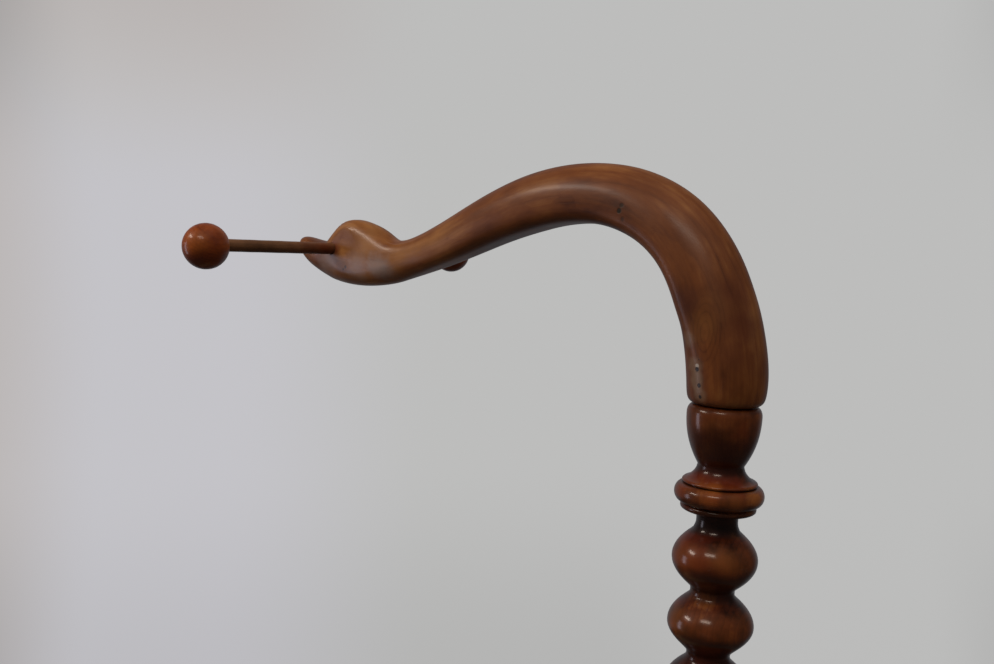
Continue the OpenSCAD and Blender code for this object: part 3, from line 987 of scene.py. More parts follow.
@dataclass(frozen=True)
class Dressing:
    """How the frame's own pieces of one kind are finished, with their shape kept."""

    slot: str
    finish: Wood
    along: int = 2
    worn_edge: float = 0.0
    smooth: float = 35.0

    def leaned(self, side: str, degrees: float) -> "Dressing":
        """The same for the parts on one side, which lean.

        Args:
            side: The side, left or right.
            degrees: How far the left ones lean; the right ones lean as far the other way.

        Returns:
            The dressing, with the side in its finish's name.
        """
        lean = degrees if side == "left" else -degrees
        finish = replace(self.finish, name=f"{self.finish.name}_{side}", lean=lean)
        return replace(self, finish=finish)

    def dress(self, nodes: Sequence[str], body: str, chance: random.Random) -> None:
        """Puts refined copies in the places of nodes that share one finish.

        Args:
            nodes: The nodes.
            body: The body that they ride on.
            chance: Where their parts' numbers come from.
        """
        finish = self.finish.material()
        for node in nodes:
            piece = refined_copy(node, self.worn_edge)
            keep_parts(piece, self.along, chance)
            finish_piece(piece, node + "_finished", body, finish, node, self.smooth)


def polish_metal(nodes: Sequence[str], metal: Metal) -> None:
    """Gives the frame's own metal pieces their finish.

    Args:
        nodes: The pieces.
        metal: Their metal.
    """
    finish = metal.material()
    for node in nodes:
        for slot in bpy.data.objects[node].material_slots:
            slot.material = finish
    LOG.info("%s on %s", finish.name, ", ".join(nodes))


# ---------------------------------------------------------------- drape column, arm and rod

COLUMN_MARKS = tuple(
    Mark(*row) for row in (
        # The cup is darker in front, its rim lighter, the torus lighter and darker in patches, and
        # the collar's lip has a painted highlight
        (2, -18.5, -19, 19, (0.026, 0.0058, 0.0020), 0.80),
        (17, -9, -26, 15, (0.034, 0.0080, 0.0030), 0.55, 0.8),
        (-4, -20, -7, 9, (0.150, 0.042, 0.0110), 0.35, 0.9),
        (10, -17, -5, 9, (0.165, 0.045, 0.0120), 0.45, 0.9),
        (8, -24, -48, 9, (0.210, 0.050, 0.0090), 0.42, 0.9),
        (17, -16, -51, 9, (0.230, 0.064, 0.0140), 0.45, 0.9),
        (-5, -24, -51, 9, (0.040, 0.010, 0.0035), 0.45, 0.9),
        (6, -20, -41.5, 7, (0.260, 0.078, 0.0140), 0.55, 0.9),
        (-8, -22, -84, 13, (0.200, 0.050, 0.0100), 0.35, 0.9),
        (17, -15, -84, 11, (0.170, 0.046, 0.0100), 0.35, 0.9),
        (-12, -19, -121, 12, (0.220, 0.066, 0.0130), 0.35, 0.9),
        (13, -18, -80, 11, (0.220, 0.066, 0.0140), 0.36, 0.9),
        # Painted shade on the lower halves of the top two bobbins
        (7, -20, -93, 14, (0.028, 0.0062, 0.0023), 0.78, 0.9),
        (7, -20, -131, 13, (0.032, 0.0070, 0.0024), 0.55, 0.9),
    )
)


@dataclass
class DrapeColumn:
    """The turned column: bobbins, a collar of mouldings and the cup that the arm stands in.

    The bobbin whose number is slim has a slimmer lower half.
    """

    bobbins: int = 14
    pitch: float = 36.5 * MM
    bobbin_r: float = 23.6 * MM
    bobbin_half: float = 16.9 * MM
    bobbin_steps: int = 12
    bobbin_share: float = 0.96
    waist_r: float = 11.9 * MM
    waist_soft: float = 0.12
    wander_r: Span = (0.99, 1.008)
    wander_z: Span = (-0.4, 0.4)
    collar_h: float = 67.5 * MM
    slim: int = 12
    slim_taper: float = 1.4
    sides: int = 72
    # Its waists and crevices get painted shade with some old dirt, and its undersides get painted
    # shade
    finish: Wood = Wood(
        "column_polish", dark=(0.018, 0.0042, 0.0020), middle=(0.080, 0.0165, 0.0044),
        light=(0.220, 0.066, 0.0130), rough=0.36, coat=0.80, coat_rough=0.165, shine=0.12,
        blotch=Noise(38.0, 4.0, 0.58), relief=0.05 * MM, patchy=2.1, fibrous=0.22,
        warm=(0.112, 0.0150, 0.0042), underside_shade=0.78, groove=(0.0115, 0.0165), marks=COLUMN_MARKS,
        crevices=(
            Crevice(19.7, -44.7, 3.4), Crevice(18.8, -57.2, 5.0, 0.86),
            Crevice(12.6, -34.4, 3.6, 0.6), Crevice(20.3, -0.4, 2.4, 0.5),
            Crevice(11.4, -66.4, 7.0, 0.85),
        ),
    )

    def bobbin(self, middle: float, chance: random.Random, taper: float) -> list[Span]:
        """One bobbin's profile, a hair off its neighbours as hand turning leaves it.

        Args:
            middle: The height of its widest part.
            chance: Where the small differences come from.
            taper: Over 1 where the lower half is slimmer than the upper one.

        Returns:
            Radius and height of each point.
        """
        radius = self.bobbin_r * chance.uniform(*self.wander_r)
        middle += chance.uniform(*self.wander_z) * MM
        points = []
        for t in range(-self.bobbin_steps, self.bobbin_steps + 1):
            share = t / self.bobbin_steps
            swell = 1 - (share * self.pitch / 2 / self.bobbin_half) ** 2
            swell = (swell + math.hypot(swell, self.waist_soft)) / 2
            if t < 0:
                swell **= taper
            height = middle + share * self.pitch * self.bobbin_share / 2
            points.append((lerp(self.waist_r, radius, swell), height))
        return points

    @staticmethod
    def collar() -> list[Span]:
        """The collar and the cup, measured down from the arm's seat.

        Returns:
            Radius and height of each point, in millimetres.
        """
        lip = arc((12.2, -56.9), (8.4, 2.5), range(9), 16)
        ring = arc((20, -49), (4.4, 5.3), range(19), 18)
        cove = arc((19.7, -34.4), (-6.8, 6.9), range(11), 20, 1.35)
        shares = [1 - t / 20 for t in range(21)]
        cup = [(12.6 + 7.7 * (1 - share ** 2.2), -5 - 27.9 * share) for share in shares]
        rim = arc((17.3, -5), (3, 5), range(8, 15), 14)
        return [
            (11.7, -66.9), (11.4, -65.6), (11.3, -64.0), (11.4, -62.0), (11.7, -60.2), *lip,
            (20.6, -56.1), (20.4, -55.4), (19.3, -54.9), (19.2, -54.6), *ring,
            (18.7, -43.9), (18.7, -43.6), (19.9, -43.4), (20.4, -42.9), (20.5, -42.3),
            (20.3, -41.8), *cove, (12.65, -33.6), *cup, *rim,
        ]

    @staticmethod
    def foot() -> list[Span]:
        """The tenon and the mouldings at the column's foot, measured up from it.

        Returns:
            Radius and height of each point, in millimetres.
        """
        ring = arc((17, 45.5), (8, 7), range(1, 12), 12)
        cove = arc((16, 60), (-3.7, 7), range(7), 12)
        return [
            (11.0, 0.0), (11.0, 36.0), (18.0, 36.0), (21.6, 37.4), (22.0, 38.2), *ring,
            (16.4, 52.6), *cove,
        ]

    def build(self) -> None:
        """Models the column and dresses it."""
        chance = random.Random(5)
        first = SEAT_Z - self.collar_h - self.bobbins * self.pitch
        profile = [(r * MM, COLUMN_LOW.z + z * MM) for r, z in self.foot()]
        for i in range(self.bobbins):
            taper = self.slim_taper if i == self.slim else 1.0
            profile += self.bobbin(first + (i + 0.5) * self.pitch, chance, taper)
        socket = [(9.6, 0.0), (9.15, -0.5), (9.15, -37.0)]
        profile += [(r * MM, SEAT_Z + z * MM) for r, z in [*self.collar(), *socket]]
        piece = turn(profile, (POST_X, 0.0, 0.0), self.sides)
        keep_parts(piece, 2, chance)
        finish_piece(
            piece, "drape_column_turned", "stand", self.finish.material(),
            "drape_column", smooth=50,
        )


@dataclass(frozen=True)
class Station:
    """One cross-section of the arm, in millimetres from its seat on the column."""

    x: float
    z: float
    heading: float
    outer: float
    inner: float
    half: float
    lower: float = 0.0

    @property
    def under(self) -> float:
        """Half width of the inner side, the same as the outer side unless it is given."""
        return self.lower or self.half

    @property
    def place(self) -> Vector:
        """Its middle in the row frame."""
        return Vector(from_seat(self.x, 0.0, self.z))


# From the tenon's foot to the beak's tip: x, z, heading, outer, inner, half, lower
STATIONS = tuple(
    Station(*row) for row in (
        (0, -36, 0, 7.6, 7.6, 7.6), (0, -35, 0, 8.9, 8.9, 8.9), (0, 0.4, 0, 8.9, 8.9, 8.9),
        (0, 0.5, 0, 16.8, 16.8, 16.8), (0, 1.0, 0, 18.6, 18.6, 18.6),
        (0.2, 2.6, 0, 20.5, 20.6, 20.4), (0.2, 6, 0, 21.6, 21.4, 21.4),
        (0.2, 14, 2, 22.2, 21.9, 22), (-1, 24, 7, 22.5, 22, 22.3),
        (-3.4, 35, 12, 22.6, 22.1, 22.4), (-6.3, 46, 16, 22.6, 22, 22.4),
        (-10, 56, 22, 22.3, 22.3, 22.3), (-14.5, 66.4, 28, 22.1, 22.1, 22),
        (-20, 76, 34, 21.8, 21.8, 21.6), (-27, 85.5, 42, 21.4, 21.4, 21.1),
        (-35.5, 94, 50, 21, 21, 20.6), (-45.5, 101.3, 59, 20.3, 20.3, 19.9),
        (-57, 107, 68, 19.6, 19.6, 19.2), (-70, 111.2, 76, 19, 19, 18.5),
        (-84, 113.4, 84, 18.5, 18.5, 18), (-98.5, 113.8, 91, 18.4, 18.4, 18),
        (-113, 112.7, 97, 18.4, 18.4, 18), (-127.5, 110.2, 102.5, 18.3, 18.3, 17.8),
        (-142, 106.4, 107, 18.2, 18.2, 17.4), (-157, 101.5, 110.5, 17.5, 17.5, 16.8),
        (-172, 95.8, 112, 16.7, 16.7, 16), (-187, 89.5, 113, 15.7, 16.1, 15.2),
        (-202, 83, 113, 14.7, 15.1, 14.4), (-217.5, 76.6, 110, 13.8, 14.1, 13.8),
        (-233, 71, 105, 13.1, 13.8, 13.4), (-244, 67.6, 100, 13.3, 14, 13.6),
        (-254, 65.5, 96, 14.5, 14.6, 14, 14.4), (-261, 65.2, 93, 17.5, 15.9, 14.5, 15),
        (-268, 65.5, 91, 21.3, 17.4, 15, 15.6), (-276, 65.7, 90, 24.2, 18.6, 15.8, 16),
        (-284, 66, 90, 26, 19.5, 17.5, 16.2), (-290, 66.3, 90, 27, 19.9, 20.2, 16.2),
        (-295, 66.6, 90, 27.3, 20.2, 25, 16), (-301, 67, 90, 26.8, 20.3, 26, 15.6),
        (-306, 67.3, 90, 25.3, 20.1, 22, 15), (-310.5, 67.5, 90, 23.2, 19.8, 19.3, 14.2),
        (-315.5, 67.8, 90, 19.2, 19.2, 16.4, 13.4), (-319.5, 68, 90, 14.2, 18.7, 13.8, 12.5),
        (-322.5, 68.3, 90, 10.2, 18, 12, 11.8), (-325.3, 68.5, 90, 8.2, 17.3, 11.2, 11.2),
        (-329, 68.9, 90, 8.1, 16.5, 10.8, 10.8), (-333, 69.4, 90, 7.9, 15.5, 10.6, 10.5),
        (-338, 70, 90, 7.9, 14, 10.2, 10.2), (-343, 71, 88, 7.7, 12.6, 9.6, 9.6),
        (-347.5, 72.2, 86, 7.2, 10.8, 9, 9), (-351, 73.4, 84, 6.4, 9, 8.2, 8.2),
        (-354, 74.6, 82, 5.3, 6.9, 6.8, 6.8), (-356.4, 75.7, 80, 3.7, 4.4, 4.8, 4.8),
        (-357.6, 76.3, 80, 1.7, 1.9, 2.3, 2.3),
    )
)

ARM_MARKS = tuple(
    Mark(*row) for row in (
        # Dark red and violet clouds in the neck, and golden ones between them
        (-13.7, -21.7, 56.8, 10, (0.060, 0.017, 0.012), 0.28),
        (6.6, -11, 63.4, 11, (0.080, 0.017, 0.006), 0.35),
        (14, -11.3, 42.9, 13, (0.075, 0.015, 0.006), 0.50),
        (20.7, -7.1, 26, 13, (0.085, 0.020, 0.007), 0.30),
        (12, -17, 30, 10, (0.075, 0.016, 0.007), 0.30),
        (-1.4, -19.9, 52.4, 14, (0.230, 0.085, 0.020), 0.22),
        (-6.7, -21.7, 41.6, 12, (0.240, 0.092, 0.022), 0.25),
        (11, -15, 52, 18, (0.070, 0.017, 0.006), 0.30, 0.9),
        (-22, -19, 91, 15, (0.115, 0.033, 0.009), 0.40, 0.9),
        (-51, -10, 120, 20, (0.105, 0.030, 0.008), 0.50, 0.9),
        # The bruised strip with worm holes, near the seat
        (-13.5, -21.4, 35.3, 6, (0.200, 0.128, 0.082), 0.45),
        (-9.2, -20.9, 22.3, 7, (0.190, 0.118, 0.068), 0.60),
        (-8, -21.2, 14, 7, (0.195, 0.122, 0.070), 0.60),
        (-4.6, -20.9, 6.5, 6, (0.190, 0.118, 0.068), 0.50),
        (-7.1, -21.3, 22.2, 1.5, (0.420, 0.360, 0.300), 0.80, 0.4),
        (-7.1, -21.3, 20.3, 1.4, (0.010, 0.004, 0.002), 0.95, 0.2, 3.0),
        (-5.4, -21, 11.7, 1.3, (0.010, 0.004, 0.002), 0.95, 0.2, 3.0),
        (-4.6, -20.8, 5.6, 1.15, (0.014, 0.006, 0.003), 0.90, 0.2, 2.5),
        (-9.8, -20.9, 19.5, 0.6, (0.014, 0.006, 0.003), 0.85, 0.2, 2.0),
        (-6, -21.4, 25.6, 0.6, (0.014, 0.006, 0.003), 0.80, 0.2, 2.0),
        # A small knot on the inside of the bend
        (-66, -18.2, 107, 3.2, (0.060, 0.020, 0.009), 0.50),
        (-63.3, -18.7, 103.2, 2, (0.010, 0.009, 0.005), 0.90, 0.5, 1.2),
        (-62, -18.8, 106.4, 2, (0.020, 0.012, 0.006), 0.80, 0.6, 0.8),
        (-60.8, -17.9, 98.6, 2.3, (0.026, 0.012, 0.006), 0.75, 0.7, 0.6),
        # The head: a red stain round the rod's hole, painted grey-lavender reflections low on the
        # neck, head and bill, lighter and darker patches, and a dent below the cheek
        (-308, -12.8, 72, 8.5, (0.110, 0.018, 0.006), 0.75),
        (-283, -14, 62, 17, (0.290, 0.215, 0.190), 0.42, 0.9),
        (-262, -15, 61, 15, (0.260, 0.210, 0.195), 0.58, 0.9),
        (-290, -13, 80, 13, (0.175, 0.060, 0.015), 0.60, 0.9),
        (-334, -8, 78, 16, (0.090, 0.028, 0.009), 0.75, 0.9),
        (-318, -12, 62, 16, (0.250, 0.165, 0.130), 0.60, 0.9),
        (-255, -15, 56, 15, (0.210, 0.155, 0.130), 0.40, 0.9),
        (-274, -9, 91, 13, (0.150, 0.060, 0.016), 0.40, 0.9),
        (-298.2, -12.6, 57.6, 1.5, (0.030, 0.012, 0.008), 0.80, 0.5, 1.4),
        (-295.8, -12.6, 59.4, 1.6, (0.030, 0.012, 0.008), 0.80, 0.5, 1.4),
    )
)


@dataclass
class SwanNeckArm:
    """The arm: a round neck that bends over and ends in a bird's head with planed cheeks.

    Its sizes are in millimetres from the seat. The pairs called rise, end, upright and jowl
    are where a form starts and where it is full.
    """

    sides: int = 40
    stations: tuple[Station, ...] = STATIONS
    near: float = 1e-7

    # The flattened inner side, over the height of the neck and up to the head
    flat_rise: Span = (14.0, 64.0)
    flat_end: Span = (-215.0, -255.0)
    past_neck: float = -60.0
    upright: Span = (80.0, 35.0)
    hug: Span = (0.05, 0.20)
    hug_most: float = 0.35
    squareness: float = 1.5
    pinch: Span = (0.04, 0.12)

    # The planed cheeks of the head, and their worn arris, which also gets a painted highlight
    head_x: float = -225.0
    head_z: float = 30.0
    cheek: float = 13.0
    cheek_back: float = -300.0
    cheek_spread: float = 0.03
    cheek_top: float = 64.0
    cheek_taper: float = 0.09
    cheek_soft: float = 4.5
    jowl_soft: float = 4.0
    jowl: Span = (66.0, 54.0)
    arris: float = 5.0
    arris_z: float = 62.0
    wear_and_sheen_rise: Span = (63.0, 75.0)
    wear_and_sheen_out: float = 2.0
    strokes: int = 70
    hole_gap: float = 0.15 * MM
    hole_l: float = 60 * MM

    finish: ArmWood = ArmWood(
        "arm_wax", dark=(0.055, 0.014, 0.0045), middle=(0.150, 0.044, 0.0102),
        light=(0.300, 0.122, 0.030), heart=(0.010, 0.030, 0.0), ring=4.4 * MM, rough=0.44,
        coat=0.26, coat_rough=0.25, shine=0.28, relief=0.12 * MM, marks=ARM_MARKS,
    )

    def shape_ring(self, piece: Piece, last: Station, now: Station) -> None:
        """Takes the selected ring from one station to the next.

        Args:
            piece: The arm, open in edit mode.
            last: The station that the ring lies on.
            now: The station that it goes to.
        """
        old, new = last.place, now.place
        bpy.ops.transform.rotate(
            value=-math.radians(last.heading), orient_axis="Y", center_override=old
        )
        for outside, was, will, width_was, width_will in (
            (True, last.outer, now.outer, last.half, now.half),
            (False, last.inner, now.inner, last.under, now.under),
        ):
            chosen = [v for v in bmesh.from_edit_mesh(piece.data).verts if v.select]
            other = [v for v in chosen if (v.co.x - old.x < -self.near) == outside]
            for vert in other:
                vert.select = False
            bpy.ops.transform.resize(
                value=(will / was, width_will / width_was, 1.0), center_override=old
            )
            for vert in chosen:
                vert.select = True
        bpy.ops.transform.translate(value=new - old)
        bpy.ops.transform.rotate(
            value=math.radians(now.heading), orient_axis="Y", center_override=new
        )

    def lay_grain(self, piece: Piece) -> None:
        """Keeps for each point its place across the arm and along it, for the wood's fibres.

        Args:
            piece: The arm, one ring of points for each station.
        """
        grain = piece.data.attributes.new("grain", "FLOAT_VECTOR", "POINT")
        run, last = 0.0, self.stations[0].place
        for i, station in enumerate(self.stations):
            centre = station.place
            run += (centre - last).length
            last = centre
            turned = Matrix.Rotation(math.radians(station.heading), 3, "Y")
            for j in range(i * self.sides, (i + 1) * self.sides):
                local = turned @ (piece.data.vertices[j].co - centre)
                grain.data[j].vector = (local.x, local.y, local.z + run)

    def shave_under(self, piece: Piece) -> None:
        """Flattens the arm's inner side, which leaves a soft arris along each flank.

        Args:
            piece: The arm, one ring of points for each station.
        """
        for i, station in enumerate(self.stations):
            rise = soft_step(station.z, *self.flat_rise) if station.x > self.past_neck else 1.0
            flat = rise * (1.0 - soft_step(station.x, *self.flat_end))
            if flat <= 0.0 or station.z < 1:
                continue
            power = 2.0 + self.squareness * flat
            hug = lerp(*self.hug, soft_step(station.heading, *self.upright))
            hug = min(hug, self.hug_most * flat)
            turned = Matrix.Rotation(math.radians(station.heading), 3, "Y")
            for vert in piece.data.vertices[i * self.sides:(i + 1) * self.sides]:
                local = turned @ (vert.co - station.place)
                up = local.x / MM / (station.outer if local.x > 0 else station.inner)
                across = abs(local.y) / MM / station.half
                if local.x < 0:
                    grown = (abs(up) ** power + across ** power) ** (-1 / power)
                    local.x *= grown * (1 - hug)
                    local.y *= grown
                local.y *= 1.0 - flat * (self.pinch[0] + self.pinch[1] * up)
                vert.co = turned.transposed() @ local + station.place

    def plane_cheeks(self, piece: Piece) -> None:
        """Planes both sides of the head flat, up to the crown, with a worn edge that also gets a
        painted highlight.

        Args:
            piece: The arm.
        """
        editing(piece)
        bpy.ops.mesh.select_all(action="DESELECT")
        mesh = bmesh.from_edit_mesh(piece.data)
        worn = mesh.verts.layers.float.new("worn")
        for vert in mesh.verts:
            x, y, z = (vert.co.x - POST_X) / MM, vert.co.y / MM, (vert.co.z - SEAT_Z) / MM
            if x > self.head_x or z < self.head_z:
                continue
            limit = self.cheek + max(0.0, x - self.cheek_back) * self.cheek_spread
            limit -= max(0.0, z - self.cheek_top) * self.cheek_taper
            over = abs(y) - limit
            soft = self.cheek_soft + self.jowl_soft * soft_step(z, *self.jowl)
            flat = limit + (over - math.sqrt(over * over + soft)) / 2
            vert.co.y = math.copysign(flat * MM, y)
            vert.select = abs(over) < self.arris and z > self.arris_z
            # The worn arris, which the arm's finish also paints lighter as a highlight
            edge = soft_step(abs(over - self.wear_and_sheen_out), self.arris, 0.0)
            vert[worn] = soft_step(z, *self.wear_and_sheen_rise) * edge
        mesh.select_flush_mode()
        bmesh.update_edit_mesh(piece.data)
        bpy.ops.mesh.vertices_smooth(factor=0.5, repeat=self.strokes)
        bpy.ops.object.mode_set(mode="OBJECT")

    def build(self) -> None:
        """Models the arm ring by ring, planes its cheeks and dresses it."""
        first = self.stations[0]
        select()
        bpy.ops.mesh.primitive_circle_add(
            vertices=self.sides, radius=first.half * MM, fill_type="NGON", location=first.place
        )
        piece = bpy.context.object
        fix_place(piece)
        editing(piece)
        for last, now in zip(self.stations, self.stations[1:]):
            bpy.ops.mesh.extrude_region_move()
            self.shape_ring(piece, last, now)
        bpy.ops.mesh.select_all(action="SELECT")
        bpy.ops.mesh.normals_make_consistent(inside=False)
        bpy.ops.object.mode_set(mode="OBJECT")
        self.lay_grain(piece)
        self.shave_under(piece)
        apply_modifier(piece, "SUBSURF", levels=2, render_levels=2)
        self.plane_cheeks(piece)
        drill(piece, (ROD_X, 0.0, ROD_Z), ROD_R + self.hole_gap, self.hole_l)
        finish_piece(
            piece, "swan_neck_arm_carved", "arm", self.finish.material(),
            "swan_neck_arm", smooth=50,
        )


@dataclass
class DrapeRod:
    """The rod through the bird's head, with a turned ball on each end."""

    sides: int = 40
    steps: int = 30
    wander: Span = (0.975, 1.0)
    end_r: Span = (0.7, 0.96)
    end_l: float = 0.6 * MM
    ball_r: float = 15.0 * MM
    ball_flat: float = 0.006
    mouth: float = 1.35
    socket_l: float = 12.0 * MM
    socket_r: float = 1.02
    finish: Wood = Wood(
        "rod_polish", grain=Grain.ALONG_Y, heart=(ROD_X + 0.004, 0.0, ROD_Z - 0.006),
        ring=1.6 * MM, dark=(0.090, 0.038, 0.016), middle=(0.170, 0.074, 0.030),
        light=(0.250, 0.118, 0.050), rough=0.42, coat=0.15, coat_rough=0.25, relief=0.05 * MM,
        marks=(
            # Red polish carried onto the rod where it slides through the head
            Mark(-303.0, -47.0, 72.0, 12, (0.110, 0.036, 0.012), 0.50, 0.8),
            Mark(-303.0, -34.0, 72.0, 14, (0.085, 0.021, 0.007), 0.90),
            Mark(-303.0, -20.0, 72.0, 14, (0.100, 0.018, 0.005), 0.92),
        ),
    )
    # The balls' undersides get painted shade
    ball_finish: Wood = Wood(
        "ball_polish", grain=Grain.ALONG_Y, heart=(ROD_X + 0.02, 0.0, ROD_Z - 0.03),
        ring=2.2 * MM, dark=(0.105, 0.017, 0.0035), middle=(0.270, 0.058, 0.0095),
        light=(0.430, 0.128, 0.021), rough=0.38, coat=0.45, coat_rough=0.17,
        relief=0.06 * MM, fibrous=0.20, patchy=1.7, underside_shade=0.6,
        marks=(
            # Painted shade on the near ball's right side, and painted light on its front
            Mark(-292.0, -117.0, 78.0, 17, (0.110, 0.018, 0.0040), 0.80, 0.8),
            Mark(-305.0, -130.0, 74.0, 12, (0.400, 0.112, 0.018), 0.35, 0.8),
        ),
    )

    @staticmethod
    def lay_along_y(piece: Piece, y: float, z: float, flip: bool = False) -> None:
        """Lays a piece along Y that was turned upright about the origin.

        Args:
            piece: The piece.
            y: Where its origin goes along Y.
            z: The height of its origin.
            flip: Whether its top points to -Y.
        """
        piece.rotation_euler = (math.radians(90 if flip else -90), 0.0, 0.0)
        piece.location = (ROD_X, y, z)
        fix_place(piece)

    def turned_rod(self, chance: random.Random) -> Piece:
        """Turns the rod about the origin, with worn ends and a slightly uneven thickness.

        Args:
            chance: Where the unevenness comes from.

        Returns:
            The rod.
        """
        half = (ROD_HIGH.y - ROD_LOW.y) / 2
        tip, shoulder = (ROD_R * share for share in self.end_r)
        profile = [(tip, -half), (shoulder, -half + self.end_l)]
        for i in range(1, self.steps):
            wander = chance.uniform(*self.wander)
            profile.append((ROD_R * wander, lerp(-half + MM, half - MM, i / self.steps)))
        profile += [(shoulder, half - self.end_l), (tip, half)]
        return turn(profile, ORIGIN, self.sides)

    def turned_ball(self) -> Piece:
        """Turns one ball about the origin, open below where the rod goes in.

        Returns:
            The ball, a little flat on top.
        """
        start = math.asin(ROD_R * self.mouth / self.ball_r)
        profile = []
        for i in range(self.steps + 1):
            a = lerp(start, math.pi - 0.02, i / self.steps)
            flat = 1.0 - self.ball_flat * max(0.0, math.cos(math.pi - a)) ** 8
            profile.append((self.ball_r * math.sin(a), -self.ball_r * math.cos(a) * flat))
        return turn(profile, ORIGIN, self.sides)

    def build(self) -> None:
        """Models the rod and its two balls, and dresses them."""
        chance = random.Random(9)
        rod = self.turned_rod(chance)
        self.lay_along_y(rod, (ROD_LOW.y + ROD_HIGH.y) / 2, ROD_Z)
        keep_parts(rod, 1, chance)
        finish_piece(rod, "drape_rod_drawn", "rod", self.finish.material(), "drape_rod")
        ball = self.turned_ball()
        for side, flip in (("left", False), ("right", True)):
            low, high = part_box("rod_ball_" + side)
            again = ball.copy()
            again.data = ball.data.copy()
            bpy.context.collection.objects.link(again)
            middle = low.y + self.ball_r if flip else high.y - self.ball_r
            self.lay_along_y(again, middle, (low.z + high.z) / 2, flip)
            inner = middle + (self.ball_r if flip else -self.ball_r)
            drill(again, (ROD_X, inner, ROD_Z), ROD_R * self.socket_r, 2 * self.socket_l)
            keep_parts(again, 1, chance)
            finish_piece(
                again, f"rod_ball_{side}_turned", "rod",
                self.ball_finish.material(), "rod_ball_" + side, smooth=60,
            )
        bpy.data.objects.remove(ball)


# ---------------------------------------------------------------- stand, crib and pivots

# Its grooves get painted shade with some old dirt, and its undersides get painted shade
POST_POLISH = Wood(
    "post_polish", groove=(0.0115, 0.0165), dark=(0.018, 0.0044, 0.0021),
    middle=(0.085, 0.0185, 0.0050), light=(0.220, 0.068, 0.0140), rough=0.35, coat=0.75,
    coat_rough=0.12, shine=0.13, relief=0.05 * MM, patchy=1.8, fibrous=0.25,
    warm=(0.088, 0.0125, 0.0040), underside_shade=0.55,
)
PINE = Wood(
    "planed_pine", grain=Grain.ALONG_Y, heart=(0.02, 0.0, 0.42), ring=5.0 * MM,
    blotch=Noise(14.0, 4.0, 0.58), dark=(0.170, 0.095, 0.045), middle=(0.330, 0.210, 0.110),
    light=(0.470, 0.330, 0.190), rough=0.62, coat=0.05, coat_rough=0.3, relief=0.16 * MM,
    shine=0.3, spread=0.5,
)


@dataclass
class Stand:
    """The two bobbin-turned posts with their legs, the stretcher between them and the pegs."""

    lean: float = 33.0
    post: Dressing = Dressing("post_wood", POST_POLISH, worn_edge=1.6 * MM)
    finial: Dressing = Dressing(
        "column_wood", replace(POST_POLISH, name="finial_polish", groove=(0.0105, 0.0155))
    )
    stretcher: Dressing = Dressing("turned_wood", Wood(
        "stretcher_polish", grain=Grain.ALONG_X, groove=(0.0090, 0.0140),
        dark=(0.020, 0.0054, 0.0025), middle=(0.092, 0.0225, 0.0068),
        light=(0.225, 0.072, 0.0175), rough=0.33, coat=0.65, coat_rough=0.11,
    ), along=0)
    peg: Dressing = Dressing("peg_wood", Wood(
        "peg_end_grain", grain=Grain.ALONG_X, ring=0.9 * MM, dark=(0.060, 0.026, 0.011),
        middle=(0.130, 0.062, 0.028), light=(0.230, 0.125, 0.062), rough=0.5, coat=0.15,
        shine=0.25,
    ), along=0)
    leg: Dressing = Dressing("leg_wood", Wood(
        "leg_polish", grain=Grain.ALONG_Y, ring=4.2 * MM, dark=(0.030, 0.0085, 0.0036),
        middle=(0.128, 0.035, 0.0105), light=(0.270, 0.095, 0.026), rough=0.34, coat=0.6,
        coat_rough=0.12, shine=0.22, rubbed=(0.040, 0.004),
    ), along=1, worn_edge=3.5 * MM)

    def build(self) -> None:
        """Dresses the stand."""
        chance = random.Random(11)
        self.post.dress(["head_post", "foot_post"], "stand", chance)
        self.finial.dress(["foot_finial"], "stand", chance)
        self.stretcher.dress(["stretcher"], "stand", chance)
        self.peg.dress(["leg_pegs"], "stand", chance)
        for side in SIDES:
            leg = self.leg.leaned(side, self.lean)
            leg.dress([f"{end}_leg_{side}" for end in ENDS], "stand", chance)


